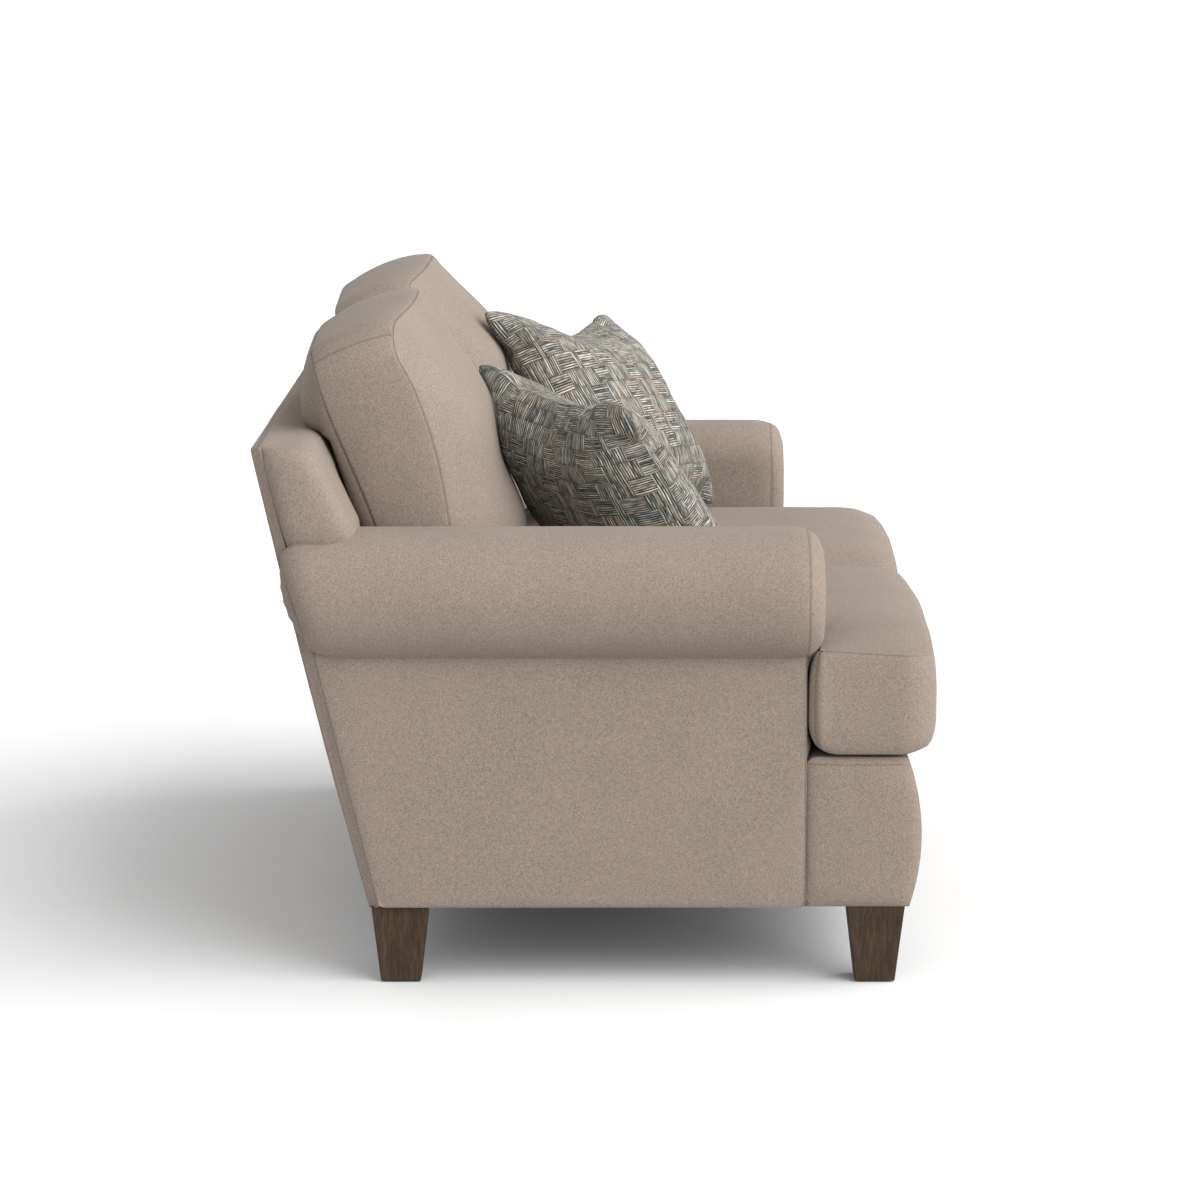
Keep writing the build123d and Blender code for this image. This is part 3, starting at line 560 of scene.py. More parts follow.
def boxed(name, outline, place, c0, c1, dome0, dome1, k0=2.0, k1=2.0, bulge=0.0, rows=12, step=0.013, groove=(0.0, 0.0014),
          seam=(0.0, 1.0), vseams=(), shape=None, mirror=False, mat="upholstery_fabric", wob=0.0012, seed=0.0, profile=None, rings=RINGS, foot=0.0, extra0=(), extra1=(), lines=(), full1=None, head=0.0):
    """A sewn cover: an outline, a boxing strip between two seam loops and a crowned panel on each end.

    place maps (a, b, c) to the row frame. c0 and c1 are the heights of the two loops, or functions of (a, b). The domes stand
    out past the loops. bulge is how far the boxing stands out between the loops, or a function of (points, normals). foot is
    the share of the bulge that the lower loop itself keeps, head that of the upper one. k sets how full a crown is; 0 is a crown that leaves its loop level.
    full1 makes the upper crown rise more steeply from its loop where it is below 1.
    """
    outline = np.asarray(outline, float)
    if len(vseams):
        outline = crowd(outline, vseams)
    n = len(outline)
    P, T = cap_mesh(outline, step, rings, lines)
    phi = membrane(P, T, n)
    nrm = out_normals(outline)
    f0 = c0 if callable(c0) else (lambda p: np.full(len(p), float(c0)))
    f1 = c1 if callable(c1) else (lambda p: np.full(len(p), float(c1)))
    e0 = k0(P) if callable(k0) else k0
    e1 = k1(P) if callable(k1) else k1
    h0 = dome0(P) if callable(dome0) else dome0
    h1 = dome1(P) if callable(dome1) else dome1
    def crown(e):
        return phi * phi * (3 - 2 * phi) if np.isscalar(e) and e == 0 else 1 - (1 - phi) ** e

    rise = crown(e1) if full1 is None else np.clip(crown(e1), 0, 1) ** full1(P)
    top = np.column_stack([P, f1(P) + h1 * rise])
    bot = np.column_stack([P, f0(P) - h0 * crown(e0)])
    m = len(P)
    bl = bulge(outline, nrm) if callable(bulge) else np.full(n, float(bulge))
    # boxing rows, close together beside the loops
    inner = np.linspace(0, 1, rows + 2)[1:-1]
    span = np.abs(f1(outline) - f0(outline)).mean()
    near = np.array([0.0013, 0.0032, 0.007])
    lo_t, hi_t = max((0.007,) + tuple(extra0)) + 0.004, max((0.007,) + tuple(extra1)) + 0.004
    ts = np.unique(np.concatenate([near / span, np.array(extra0) / span, inner[(inner > lo_t / span) & (inner < 1 - hi_t / span)],
                                   1 - np.array(extra1) / span, 1 - near / span]))
    prof = profile or (lambda t: max(0.0, math.sin(math.pi * t)) ** 0.55)
    box_rows = []
    for t in ts:
        c = f0(outline) * (1 - t) + f1(outline) * t
        box_rows.append(np.column_stack([outline + nrm * (bl * prof(t))[:, None], c]))
    V = np.vstack([top, bot] + box_rows)
    # sm holds each point's seam weight: how much painted shade the upholstery cloth gets in a seam groove
    sm = np.zeros(len(V))
    # seam grooves at the loops
    V[:n, :2] -= nrm * groove[1]
    V[m:m + n, :2] -= nrm * groove[0]
    wt = (seam[1](outline) if callable(seam[1]) else np.full(n, float(seam[1])))
    wb = (seam[0](outline) if callable(seam[0]) else np.full(n, float(seam[0])))
    sm[:n], sm[m:m + n] = wt, wb
    d = dist_to(outline, P)
    idx, at = nearest(outline, P)
    nxt = (idx + 1) % n

    def along(a):
        k = at if a.ndim == 1 else at[:, None]
        return a[idx] * (1 - k) + a[nxt] * k

    near_d = np.exp(-((d[n:] / 0.0011) ** 2))
    sm[n:m] = near_d * along(wt)[n:]
    sm[m + n:2 * m] = near_d * along(wb)[n:]
    # sewn lines: a shallow dip in the surface, with painted shade along it
    for ln_ in lines:
        dl = dist_to_open(np.asarray(ln_, float), P)
        w = np.exp(-((dl / 0.0011) ** 2))
        sm[:m] = np.maximum(sm[:m], w)
        sm[m:2 * m] = np.maximum(sm[m:2 * m], w)
        V[:m, 2] -= 0.0009 * w
        V[m:2 * m, 2] += 0.0009 * w
    if foot:
        V[m:2 * m, :2] += along(nrm) * (along(bl) * foot * np.exp(-d / 0.02))[:, None]
    if head:
        V[:m, :2] += along(nrm) * (along(bl) * head * np.exp(-d / 0.02))[:, None]
    for r, t in enumerate(ts):
        s = 2 * m + r * n
        sm[s:s + n] = np.maximum(wt * math.exp(-(((1 - t) * span / 0.0011) ** 2)), wb * math.exp(-((t * span / 0.0011) ** 2)))
    # upright seams on the boxing
    for q in vseams:
        d = np.linalg.norm(outline - np.asarray(q), axis=1)
        k0 = int(np.argmin(d))
        near_q = np.exp(-((np.linalg.norm(outline - outline[k0], axis=1) / 0.0012) ** 2))
        for r in range(len(ts)):
            s = 2 * m + r * n
            V[s:s + n, :2] -= nrm * (near_q * max(groove))[:, None]
            sm[s:s + n] = np.maximum(sm[s:s + n], near_q)
    kind = np.concatenate([np.zeros(m), np.ones(m), np.full(n * len(ts), 2)])
    par = np.concatenate([np.ones(m), np.zeros(m), np.repeat(ts, n)])
    if shape:
        V = shape(V, kind, par, sm)
    W = place(V)
    # faces
    F = [tuple(int(i) for i in t) for t in T] + [tuple(int(i) + m for i in t[::-1]) for t in T]
    loops = [list(range(m, m + n))] + [list(range(2 * m + r * n, 2 * m + r * n + n)) for r in range(len(ts))] + [list(range(n))]
    arc = np.concatenate([[0], np.cumsum(np.linalg.norm(np.diff(np.vstack([outline, outline[:1]]), axis=0), axis=1))])
    hgt = np.concatenate([[0.0], ts * span, [span]])
    quads, quv = [], []
    for r in range(len(loops) - 1):
        A, B = loops[r], loops[r + 1]
        for k in range(n):
            k2 = (k + 1) % n
            quads.append((A[k], A[k2], B[k2], B[k]))
            quv.append(((arc[k], hgt[r]), (arc[k + 1], hgt[r]), (arc[k + 1], hgt[r + 1]), (arc[k], hgt[r + 1])))
    tuv = [tuple((P[i][0] + 0.31, P[i][1] + 0.17) for i in t) for t in T] + [tuple((P[i][0] + 1.9, P[i][1] + 0.83) for i in t[::-1]) for t in T]
    faces, uvs = F + quads, tuv + quv
    return finish_mesh(name, W, faces, uvs, sm, mat, mirror, wob, seed)


def finish_mesh(name, W, faces, uvs, sm, mat, mirror=False, wob=0.0, seed=0.0):
    W = np.array(W, float)
    if mirror:
        W[:, 0] *= -1
        faces = [f[::-1] for f in faces]
        uvs = [u[::-1] for u in uvs]
    me = bpy.data.meshes.new(name)
    me.from_pydata([tuple(p) for p in W], [], faces)
    uv = me.uv_layers.new(name="UVMap")
    flat = [c for u in uvs for p in u for c in p]
    uv.data.foreach_set("uv", flat)
    at = me.attributes.new("seam", "FLOAT", "POINT")
    at.data.foreach_set("value", [float(x) for x in sm])
    me.update()
    # the solid's outside faces outward
    vol = 0.0
    for f in faces:
        for k in range(1, len(f) - 1):
            a, b, c = W[f[0]], W[f[k]], W[f[k + 1]]
            vol += a @ np.cross(b, c)
    if vol < 0:
        me.flip_normals()
    if wob:
        nv = np.empty(len(W) * 3)
        me.vertex_normals.foreach_get("vector", nv)
        nv = nv.reshape(-1, 3)
        off = np.array([noise.noise(Vector(p * 4.5) + Vector((seed, seed * 1.7, 3.1))) + 0.4 * noise.noise(Vector(p * 13.0) + Vector((seed, 5.0, seed)))
                        for p in W])
        W = W + nv * (off * wob)[:, None]
        me.vertices.foreach_set("co", W.ravel())
        me.update()
    me.polygons.foreach_set("use_smooth", [True] * len(me.polygons))
    o = bpy.data.objects.new(name, me)
    scene.collection.objects.link(o)
    o.data.materials.append(MAT[mat])
    return o


def on_axes(origin, A, B, C):
    origin, A, B, C = (np.asarray(v, float) for v in (origin, A, B, C))
    return lambda V: origin + V[:, :1] * A + V[:, 1:2] * B + V[:, 2:3] * C


# ------------------------------------------------------------------ lines shared with the frame
RAKE = 0.24554


def back_out(z):
    return 0.3285 + (z - 0.116) * RAKE


def back_in(z):
    return back_out(z) - 0.0124


def wing_y(z):
    return 0.342 + (z - 0.675) * 0.3276


def inside_y(z):
    return wing_y(z) + 0.025


def wing_front(z):
    return 0.3535 + (z - 0.675) * 0.50


# ------------------------------------------------------------------ seat cushions
def seat(side):
    s = 1 if side == "right" else -1
    corners = [(0.0075, -0.4815, 0.050), (0.33, -0.4900, 0), (0.7575, -0.4830, 0.046), (0.7575, -0.3185, 0.004), (0.598, -0.3185, 0.010), (0.598, 0.249, 0.014),
               (0.0075, 0.249, 0.014)]
    outline = resample(rounded(corners), 0.0072)
    for _ in range(14):
        # ease the long front edge into one bow
        front = outline[:, 1] < -0.4795
        outline[front] = (0.5 * outline + 0.25 * (np.roll(outline, 1, 0) + np.roll(outline, -1, 0)))[front]

    def loop_z(P):
        ear = smooth(P[:, 0], 0.58, 0.74) * smooth(-P[:, 1], 0.31, 0.47)
        mid = np.clip(1 - ((P[:, 0] - 0.31) / 0.33) ** 2, 0, 1)
        split = (1 - smooth(P[:, 0], 0.0, 0.09)) * smooth(-P[:, 1], 0.34, 0.47)
        return 0.4945 - 0.0085 * ear - 0.008 * split + 0.008 * mid * smooth(-P[:, 1], 0.15, 0.47)

    def bulge(p, nr):
        b = np.full(len(p), 0.0045)
        b = np.where(nr[:, 1] < -0.5, 0.0085, b)
        b = np.where((nr[:, 1] > 0.5) & (p[:, 0] > 0.6), 0.0148, b)
        b = np.where((nr[:, 0] > 0.7) & (p[:, 0] > 0.7), 0.0078, b)
        k = np.ones(9) / 9
        return np.convolve(np.concatenate([b[-4:], b, b[:4]]), k, "valid")

    def prof(t):
        if t < 0.30:
            return -0.55 + 1.55 * math.sqrt(max(0.0, 1 - (1 - t / 0.30) ** 2))
        return 1.0 if t < 0.55 else max(0.0, math.cos((t - 0.55) / 0.45 * math.pi / 2)) ** 0.40

    def shape(V, kind, par, sm):
        V = V.copy()
        # the underside lies on the deck and on the roll at the deck's front edge
        lip = 0.0055 * np.exp(-(((V[:, 1] + 0.307) / 0.019) ** 4)) * (1 - smooth(np.abs(V[:, 0]), 0.592, 0.612))
        V[:, 2] = np.maximum(V[:, 2], 0.3393 + lip)
        return V

    def under(P):
        ends = np.maximum(smooth(P[:, 1], -0.345, -0.314), smooth(-P[:, 1], 0.440, 0.485)) * smooth(P[:, 0], 0.60, 0.74)
        return 0.3425 + 0.0075 * ends

    def seam_top(p):
        # the seam sinks into the roll of the front edge, so its painted shade fades out there
        return 1 - 0.85 * smooth(-p[:, 1], 0.445, 0.480)

    def full(P):
        return 1 - 0.42 * smooth(-P[:, 1], 0.34, 0.455)

    o = boxed(f"seat_cushion_{side}", outline, on_axes((0, 0, 0), (1, 0, 0), (0, 1, 0), (0, 0, 1)), under, loop_z, 0.0045, 0.0300 if s < 0 else 0.0395, 9.0, 3.2, bulge,
              rows=14, vseams=[(0.7575, -0.3185)], shape=shape, mirror=s < 0, seed=3.0 + s, groove=(0.0006, 0.0014), seam=(0.55, seam_top), profile=prof, foot=-0.55,
              extra0=(0.011, 0.016), full1=full)
    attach(o, f"seat_cushion_{side}")
    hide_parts(f"seat_cushion_cover_{side}", f"seat_cushion_foam_{side}")
    return o


for side in ("left", "right"):
    seat(side)

# ------------------------------------------------------------------ back cushions
LEAN = math.atan(0.2774)
BL = (0.0, math.sin(LEAN), math.cos(LEAN))
BN = (0.0, -math.cos(LEAN), math.sin(LEAN))


def back_cushion(side):
    s = 1 if side == "right" else -1
    w0, w1, b0, b1 = 0.009, 0.597, -0.136, 0.312 if s < 0 else 0.320
    corners = [(w0, b0, 0.030), (w1, b0, 0.030), (w1, b1 - 0.006, 0.060), ((w0 + w1) / 2, b1 + 0.008, 0), (w0, b1 - 0.006, 0.054)]
    outline = resample(rounded(corners), 0.0072)
    for _ in range(14):
        crown = outline[:, 1] > b1 - 0.005
        outline[crown] = (0.5 * outline + 0.25 * (np.roll(outline, 1, 0) + np.roll(outline, -1, 0)))[crown]
    mid = (w0 + w1) / 2

    def bow(P):
        x = np.clip(1 - ((P[:, 0] - mid) / 0.30) ** 2, 0, 1)
        edge = 1 - x
        top = 0.034 * x**0.7 * smooth(P[:, 1], 0.02, b1)
        low = 0.045 * x**0.6 * smooth(-P[:, 1], -0.05, -b0)
        side_bow = 0.013 * np.sin(np.pi * np.clip((P[:, 1] + 0.02) / 0.27, 0, 1)) * edge
        return top + low + side_bow - 0.011 * smooth(P[:, 1], 0.20, b1) * edge

    def bulge(p, nr):
        return 0.0075 + 0.006 * np.clip(nr[:, 1], 0, 1)

    def height(P):
        full, fall, top = (0.086, 0.224, 0.31) if s < 0 else (0.101, 0.185, 0.36)
        return full * (top + (1 - top) * smooth(b1 - P[:, 1], 0.0, fall))

    def rear(P):
        if s < 0:
            return 0.048 - 0.016 * smooth(P[:, 1], 0.19, 0.30)
        return 0.046 - 0.034 * smooth(P[:, 1], 0.10, 0.25)

    def shape(V, kind, par, sm):
        V = V.copy()
        # the rear edge of the top sits lower
        V[:, 1] -= 0.012 * (1 - par) * smooth(V[:, 1], 0.16, 0.30)
        # below the top of the sofa back the filling lies flat against it
        for _ in range(3):
            y = 0.2215 + V[:, 1] * BL[1] + V[:, 2] * BN[1]
            z = 0.654 + V[:, 1] * BL[2] + V[:, 2] * BN[2]
            over = y - (inside_y(z) - 0.004 + 0.11 * smooth(z, 0.775, 0.84))
            V[:, 2] += np.where(over > -0.004, np.log1p(np.exp(np.clip(over / 0.003, -30, 30))) * 0.003, 0) / -BN[1]
        return V

    o = boxed(f"back_cushion_{side}", outline, on_axes((0, 0.2215, 0.654), (1, 0, 0), BL, BN), lambda P: -0.1005 - 0.024 * smooth(P[:, 1], 0.0, 0.26), bow, rear, height,
              6.0, 2.1, bulge, rows=12, shape=shape, mirror=s < 0, seed=11.0 + 2 * s, groove=(0.0014, 0.0016), seam=(0.9, 1.0),
              vseams=[(w1 - 0.017, b1 - 0.023), (w0 + 0.016, b1 - 0.021)])
    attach(o, f"back_cushion_{side}")
    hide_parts(f"back_cushion_cover_{side}", f"back_cushion_fill_{side}")
    return o


for side in ("left", "right"):
    back_cushion(side)


# ------------------------------------------------------------------ arms
def arm_outline(zlow, zc, rz):
    pts = [(0.606, zlow), (0.7445, zlow), (0.7445, zc - rz + 0.0025), (0.752, zc - rz + 0.0040)]
    for t in np.linspace(-1.232, math.pi / 2, 40):
        pts.append((0.725 + 0.09 * math.cos(t), zc + rz * math.sin(t)))
    for t in np.linspace(math.pi / 2, math.pi, 18):
        pts.append((0.668 + 0.062 * math.cos(t), zc + rz - 0.062 + 0.062 * math.sin(t)))
    return np.array(pts)


def arm(side):
    s = 1 if side == "right" else -1
    zc, rz = (0.5705, 0.0920) if s < 0 else (0.5685, 0.0885)
    outline = resample(arm_outline(0.330, zc, rz), 0.0072)

    def front(P):
        return np.full(len(P), 0.3020)

    def rear(P):
        return -(back_in(P[:, 1]) - 0.002 + 0.0105 * smooth(P[:, 0], 0.752, 0.770))

    def dome(P):
        # the foot of the arm front fills the corner behind the cushion's ear
        return 0.0240 * smooth(P[:, 1], 0.455, 0.515) + 0.0008 + 0.014 * (1 - smooth(P[:, 1], 0.348, 0.374))

    def rdome(P):
        return 0.0215 * smooth(P[:, 0], 0.745, 0.765) * smooth(P[:, 1], 0.475, 0.52)

    def seam(p):
        return smooth(p[:, 1], 0.47, 0.50)

    def prof(t):
        d = t * 0.70
        f = 0.70 - d
        e = 0.0 if d > 0.036 else -(1 - math.sqrt(max(0.0, 1 - (1 - d / 0.036) ** 2)))
        return e - (0.0 if f > 0.030 else 0.16 * (1 - f / 0.030) ** 2)

    def bulge(p, nr):
        return 0.026 * smooth(p[:, 1], 0.45, 0.52)

    o = boxed(f"arm_{side}", outline, on_axes((0, 0, 0), (1, 0, 0), (0, 0, 1), (0, -1, 0)), rear, front, rdome, dome, 0, 4.5, bulge, rows=26,
              mirror=s < 0, seed=21.0 + s, groove=(0.0, 0.0014), seam=(0.0, seam), profile=prof, wob=0.0008, foot=-1.0, extra0=(0.004, 0.011, 0.016, 0.022, 0.030, 0.038), extra1=(0.012, 0.018, 0.026), head=-0.16)
    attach(o, "frame")
    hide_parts(f"arm_roll_{side}", f"arm_front_{side}")
    # outside panel
    corners = [(-0.3012, 0.1165, 0.003), (back_in(0.1165) + 0.001, 0.1165, 0.003), (back_in(0.498) + 0.001, 0.500, 0.003), (-0.3012, 0.496, 0.003)]
    outline = resample(rounded(corners, 6), 0.009)
    p = boxed(f"arm_outside_panel_{side}.soft", outline, on_axes((0.747, 0, 0), (0, 1, 0), (0, 0, 1), (1, 0, 0)), 0.0, 0.0055, 0.0, 0.0040, 2.0, 11.0, 0.0008,
              rows=3, step=0.02, mirror=s < 0, seed=31.0 + s, groove=(0.0, 0.0004), seam=(0.0, 0.4), wob=0.0007)
    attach(p, "frame")
    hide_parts(f"arm_outside_panel_{side}")


for side in ("left", "right"):
    arm(side)

# ------------------------------------------------------------------ back: top and wings, inside pad, outside panel
corners = [(back_in(0.630) + 0.002, 0.630, 0.004), (back_in(0.790) + 0.005, 0.790, 0.004), (wing_front(0.790), 0.790, 0.026), (wing_front(0.668), 0.668, 0.022),
           (wing_front(0.630) + 0.016, 0.630, 0.014)]
wing_outline = resample(rounded(corners), 0.0072)


def back_shape(V, kind, par, sm):
    V = V.copy()
    # the inside back lies deeper between the wings
    mid = 1 - smooth(np.abs(V[:, 2]), 0.590, 0.612)
    V[:, 0] += mid * np.maximum(0.0, inside_y(V[:, 1]) - 0.003 - V[:, 0])
    return V


o = boxed("back_top_and_wings", wing_outline, on_axes((0, 0, 0), (0, 1, 0), (0, 0, 1), (1, 0, 0)), -0.742, 0.742, 0.029, 0.029, 3.4, 3.4, 0.002, rows=64, shape=back_shape,
          groove=(0.0, 0.0), seam=(0.0, 0.0), profile=lambda t: min(1.0, math.sin(math.pi * t) * 20) ** 0.5, seed=41.0, wob=0.0008)
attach(o, "frame")
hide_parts("back_cover")

ln = math.hypot(1.0, RAKE)
RL, RN = (0, RAKE / ln, 1 / ln), (0, 1 / ln, -RAKE / ln)
half_len = (0.788 - 0.116) * ln
outline = resample(rounded([(-0.7525, 0.0, 0.004), (0.7525, 0.0, 0.004), (0.7525, half_len, 0.006), (-0.7525, half_len, 0.006)], 6), 0.011)


def panel_edge(V, kind, par, sm):
    V = V.copy()
    # the panel's edge turns towards the rear
    V[:, 0] -= np.sign(V[:, 0]) * 0.0105 * smooth(np.abs(V[:, 0]), 0.70, 0.7525) * np.clip(V[:, 2] / 0.013, 0, 1)
    return V


o = boxed("outside_back", outline[::-1] * np.array([-1, 1]), on_axes((0, back_in(0.116) + 0.0004, 0.116), (1, 0, 0), RL, RN), 0.0, lambda P: 0.0155 + 0.003 * np.sin(np.pi * np.clip(P[:, 1] / half_len, 0, 1)), 0.0, 0.0040, 2.0, 12.0, 0.0012, rows=4, step=0.028,
          groove=(0.0008, 0.0010), seam=(0.6, 0.7), seed=51.0, wob=0.0008, shape=panel_edge)
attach(o, "frame")
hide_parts("outside_back_panel")


outline = resample(rounded([(-0.601, 0.342, 0.02), (0.601, 0.342, 0.02), (0.601, 0.780, 0.02), (-0.601, 0.780, 0.02)], 6), 0.014)


def pad_place(V):
    z = V[:, 1]
    return np.column_stack([V[:, 0], inside_y(z) - V[:, 2], z])


o = boxed("inside_back", outline, pad_place, -0.030, -0.006, 0.0, 0.006, 2.0, 8.0, 0.001, rows=4, step=0.03, groove=(0.0, 0.001), seam=(0.0, 0.6), seed=61.0)
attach(o, "frame")
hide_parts("inside_back_pad")

# ------------------------------------------------------------------ front border
pts = [(-0.2998, 0.1165), (-0.2998, 0.321)]
for t in np.linspace(0, 1, 8):
    a = math.pi * t / 2
    pts.append((-0.2998 - 0.017 + 0.017 * math.cos(a), 0.321 + 0.017 * math.sin(a)))
for t in np.linspace(0, 1, 40):
    # top corner and the full front
    z = 0.338 - (0.338 - 0.1165) * t
    y = -0.4455 - 0.0245 * math.sin(math.pi * min(1, max(0, (0.345 - z) / 0.245))) ** 0.8
    pts.append((y, z))
border_outline = resample(np.array(pts)[::-1], 0.0065)[::-1]


def border_edge(p):
    return 0.5 * smooth(-p[:, 0], 0.306, 0.300)


sewn = np.column_stack([np.linspace(-0.304, -0.4375, 34), np.full(34, 0.3272)])
o = boxed("front_border_cover", border_outline, on_axes((0, 0, 0), (0, 1, 0), (0, 0, 1), (1, 0, 0)), -0.747, 0.747, 0.0105, 0.0105, 5.0, 5.0, 0.0, rows=60,
          groove=(0.0, 0.0), seam=(border_edge, border_edge), seed=71.0, wob=0.0006, lines=[sewn])
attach(o, "frame")
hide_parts("front_border")

# deck cloth under the seat cushions
outline = resample(rounded([(-0.6042, -0.3016, 0.0012), (0.6042, -0.3016, 0.0012), (0.6042, 0.2562, 0.0012), (-0.6042, 0.2562, 0.0012)], 4), 0.02)
o = boxed("seat_deck", outline, on_axes((0, 0, 0), (1, 0, 0), (0, 1, 0), (0, 0, 1)), 0.3355, 0.3362, 0.0, 0.0012, 2.0, 4.0, 0.0, rows=2, step=0.03, groove=(0, 0), seam=(0, 0.3), mat="deck_cloth", wob=0.0004,
          rings=(0.006, 0.015))
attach(o, "frame")
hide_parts("seat_deck_cloth")


# ------------------------------------------------------------------ throw pillows
def pillow_cloth(seed, volume):
    """A flat two-sided case, blown up as cloth. Gives the case's grid, its shape and its flat pattern."""
    n, w, h, r = 48, 0.470, 0.430, 0.018
    rng = np.random.default_rng(seed)
    g = np.linspace(-1, 1, n + 1)
    idx, V, flat, F = {}, [], [], []
    for face in (1, -1):
        for i in range(n + 1):
            for j in range(n + 1):
                key = (0 if i in (0, n) or j in (0, n) else face, i, j)
                if key in idx:
                    continue
                x, y = w / 2 * g[j], h / 2 * g[i]
                dx, dy = abs(x) - (w / 2 - r), abs(y) - (h / 2 - r)
                if dx > 0 and dy > 0:
                    L, q = max(dx, dy), math.hypot(dx, dy)
                    x, y = math.copysign(w / 2 - r + L * dx / q, x), math.copysign(h / 2 - r + L * dy / q, y)
                idx[key] = len(V)
                lift = max(0.0, (1 - g[j] ** 2) * (1 - g[i] ** 2))
                V.append((x, y, key[0] * 0.012 * lift + 0.0006 * rng.standard_normal()))
                flat.append((x, y))
    for face in (1, -1):
        for i in range(n):
            for j in range(n):
                f = [idx[(0 if a in (0, n) or b in (0, n) else face, a, b)] for a, b in ((i, j), (i, j + 1), (i + 1, j + 1), (i + 1, j))]
                F.append(tuple(f if face > 0 else f[::-1]))
    V = np.array(V)
    me = bpy.data.meshes.new("case")
    me.from_pydata([tuple(p) for p in V], [], F)
    me.update()
    o = bpy.data.objects.new("case", me)
    scene.collection.objects.link(o)
    md = o.modifiers.new("cloth", "CLOTH")
    c = md.settings
    c.quality, c.mass = 6, 0.3
    c.tension_stiffness = c.compression_stiffness = 15.0
    c.shear_stiffness, c.bending_stiffness = 5.0, 0.5
    c.tension_damping = c.compression_damping = c.shear_damping = 25.0
    c.bending_damping, c.air_damping = 1.0, 10.0
    c.use_pressure = c.use_pressure_volume = True
    c.target_volume, c.uniform_pressure_force, c.pressure_factor = volume, 3.0, 1.0
    c.effector_weights.gravity = 0.0
    md.collision_settings.use_collision = False
    first = scene.frame_current
    for fr in range(1, 46):
        scene.frame_set(fr)
    ev = o.evaluated_get(bpy.context.evaluated_depsgraph_get())
    co = np.empty(len(V) * 3)
    ev.data.vertices.foreach_get("co", co)
    co = co.reshape(-1, 3)
    scene.frame_set(first)
    bpy.data.objects.remove(o)
    bpy.data.meshes.remove(me)
    return co, np.array(flat), F, np.array([k[0] for k in idx])


def pillow(side, corners, thick, seed, volume, chop, at, rear=1.0, straight=(0.0, 0.0), stuff=(0.5, 0.5)):
    """Corners: inner top, outer top, outer bottom and inner bottom, as the case's corner tips."""
    co, flat, F, face = pillow_cloth(seed, volume)
    edge = face == 0
    co = co - (co.max(0) + co.min(0)) / 2
    half = np.abs(co[:, :2]).max(0)
    p, q = co[:, 0] / half[0], co[:, 1] / half[1]
    zz = co[:, 2] * thick / (co[:, 2].max() - co[:, 2].min())
    # corners are stuffed full, so the tips are blunt
    fp, fq = flat[:, 0] / np.abs(flat[:, 0]).max(), flat[:, 1] / np.abs(flat[:, 1]).max()
    tip = np.exp(-(((np.abs(fp) - 1) ** 2 + (np.abs(fq) - 1) ** 2) / 0.34 ** 2))
    p, q = p + tip * (fp - p), q + tip * (fq - q)
    full = np.where((fp < 0) & (fq > 0), stuff[0], stuff[1])
    zz = zz + tip * (full * face * thick * np.sqrt(np.clip((1 - fp * fp) * (1 - fq * fq), 0, 1)) - zz)
    # the top edge is knocked in, as a plumped pillow stands
    knock = np.exp(-(((p - at) / 0.46) ** 2)) * smooth(q, 0.25, 0.95)
    q = q - chop * knock
    p = p * (1 + np.where(p > 0, straight[1], straight[0]) * np.clip(1 - q * q, 0, 1))
    zz = zz * (1 - 0.22 * knock)
    front = -1 if corners[1][0] < corners[0][0] else 1
    zz = np.where(zz * front > 0, zz, zz * rear)
    it, ot, ob, ib = (np.array(c) for c in corners)
    s_, t_ = (p + 1) / 2, (q + 1) / 2
    mid = ((1 - t_) * (1 - s_))[:, None] * ib + ((1 - t_) * s_)[:, None] * ob + (t_ * (1 - s_))[:, None] * it + (t_ * s_)[:, None] * ot
    nrm = np.cross((ot - it) + (ob - ib), (it - ib) + (ot - ob))
    nrm /= np.linalg.norm(nrm)
    W = mid + zz[:, None] * nrm
    F2 = F
    uvs = []
    m = len(F) // 2
    for k, f in enumerate(F):
        shift = 0.0 if k < m else 0.7
        uvs.append(tuple((flat[i][0] + shift, flat[i][1]) for i in f))
    o = finish_mesh(f"throw_pillow_{side}", W, F2, uvs, edge * 1.0, "pillow_fabric", False, 0.0, seed)
    sub_ = o.modifiers.new("smooth", "SUBSURF")
    sub_.levels = sub_.render_levels = 1
    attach(o, f"throw_pillow_{side}")
    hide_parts(f"throw_pillow_cover_{side}", f"throw_pillow_insert_{side}")
    return o


pillow("right", [(0.150, 0.190, 0.904), (0.550, -0.012, 0.863), (0.550, -0.205, 0.530), (0.170, -0.018, 0.545)], 0.165, 5, 0.0130, 0.13, 0.08, 0.72, (0.06, 0.03), (0.50, 0.48))
pillow("left", [(-0.118, 0.191, 0.846), (-0.474, -0.037, 0.817), (-0.492, -0.218, 0.535), (-0.150, 0.028, 0.533)], 0.165, 8, 0.0130, 0.12, -0.04, 1.08, (0.03, 0.05), (0.66, 0.42))



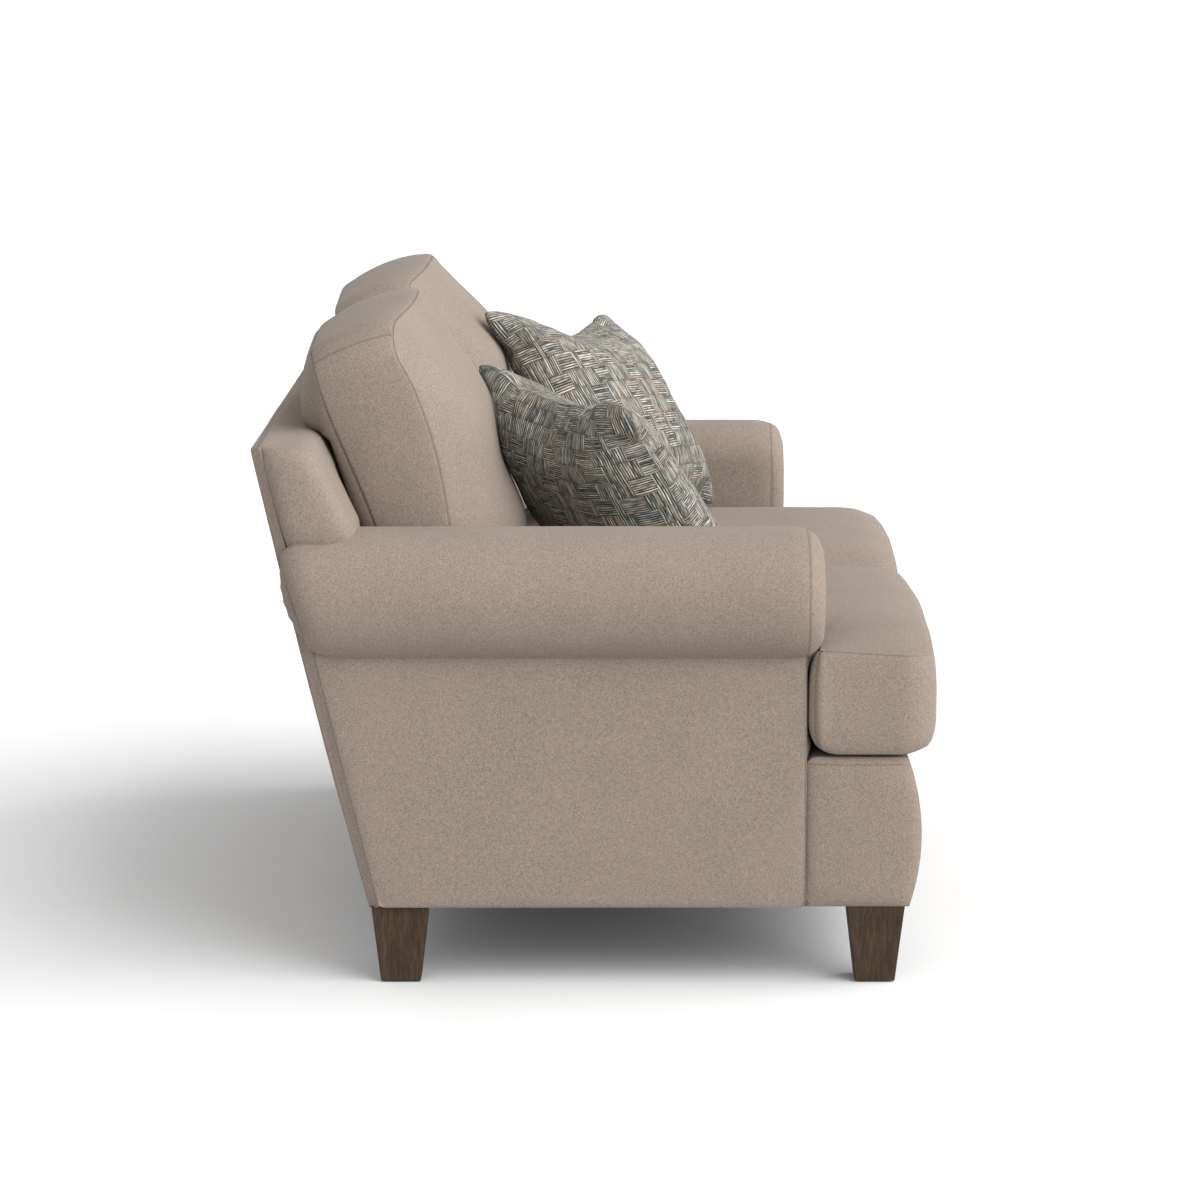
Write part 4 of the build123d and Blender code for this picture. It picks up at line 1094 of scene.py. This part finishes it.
def press(piece, *others, gap=0.0016):
    """Soft pieces flatten where they lean: points of piece inside a neighbour, or closer than gap, move out to its face."""
    bpy.context.view_layer.update()
    dg = bpy.context.evaluated_depsgraph_get()
    rays = [Vector(v).normalized() for v in ((0.131, 0.272, 0.953), (-0.412, 0.633, 0.655), (0.587, -0.214, 0.781))]
    there, back = piece.matrix_world, piece.matrix_world.inverted()
    for other in others:
        e = other.evaluated_get(dg)
        m = e.to_mesh()
        V = [e.matrix_world @ v.co for v in m.vertices]
        tree = BVHTree.FromPolygons(V, [tuple(f.vertices) for f in m.polygons])
        e.to_mesh_clear()
        lo = [min(v[k] for v in V) - gap for k in range(3)]
        hi = [max(v[k] for v in V) + gap for k in range(3)]
        for v in piece.data.vertices:
            p = there @ v.co
            if any(p[k] < lo[k] or p[k] > hi[k] for k in range(3)):
                continue
            q, _, _, d = tree.find_nearest(p)
            if q is None or d > 0.05:
                continue
            odd = 0
            for ray in rays:
                n, hit = 0, tree.ray_cast(p, ray)
                while hit[0] is not None and n < 40:
                    n, hit = n + 1, tree.ray_cast(hit[0] + ray * 1e-5, ray)
                odd += n % 2
            if odd > 1:
                v.co = back @ (q + (q - p).normalized() * gap)
            elif 1e-9 < d < gap:
                v.co = back @ (q + (p - q).normalized() * gap)
        piece.data.update()
        bpy.context.view_layer.update()


for side in ("left", "right"):
    part = {k: bpy.data.objects[f"{k}_{side}"] for k in ("seat_cushion", "back_cushion", "throw_pillow", "arm")}
    press(part["seat_cushion"], part["back_cushion"], part["arm"], bpy.data.objects["seat_deck"])
    press(part["throw_pillow"], part["back_cushion"], part["seat_cushion"])

# ------------------------------------------------------------------ studio
floor_mat = Nodes("studio_floor")
fn = floor_mat.noise(floor_mat.mapping(floor_mat.obj(), (3, 3, 3)), 1.0, 2.0, 0.5)
floor_mat.link(floor_mat.ramp(fn, [(0.3, (0.62, 0.62, 0.62)), (0.7, (0.63, 0.63, 0.63))]), floor_mat.bsdf.inputs["Base Color"])
floor_mat.bsdf.inputs["Roughness"].default_value = 0.9
floor_mat.bsdf.inputs["Specular IOR Level"].default_value = 0.1
fme = bpy.data.meshes.new("studio_floor")
R = 150.0
fme.from_pydata([(-R, -R, 0), (R, -R, 0), (R, R, 0), (-R, R, 0)], [], [(0, 1, 2, 3)])
floor = bpy.data.objects.new("studio_floor", fme)
fme.materials.append(floor_mat.mat)
scene.collection.objects.link(floor)

world = bpy.data.worlds.new("studio")
scene.world = world
world.use_nodes = True
bg = world.node_tree.nodes["Background"]
bg.inputs[0].default_value = (1.0, 1.0, 1.0, 1.0)
bg.inputs[1].default_value = 0.78


def soft_sun(name, energy, travel, angle, shadow=True):
    light = bpy.data.lights.new(name, "SUN")
    light.energy = energy
    light.angle = math.radians(angle)
    light.use_shadow = shadow
    ob = bpy.data.objects.new(name, light)
    ob.location = -3.0 * Vector(travel)
    ob.rotation_euler = Vector(travel).to_track_quat("-Z", "Y").to_euler()
    scene.collection.objects.link(ob)


soft_sun("key", 6.0, (0.30, 0.85, -0.43), 90)
soft_sun("fill", 1.3, (0.85, 0.15, -0.50), 70)
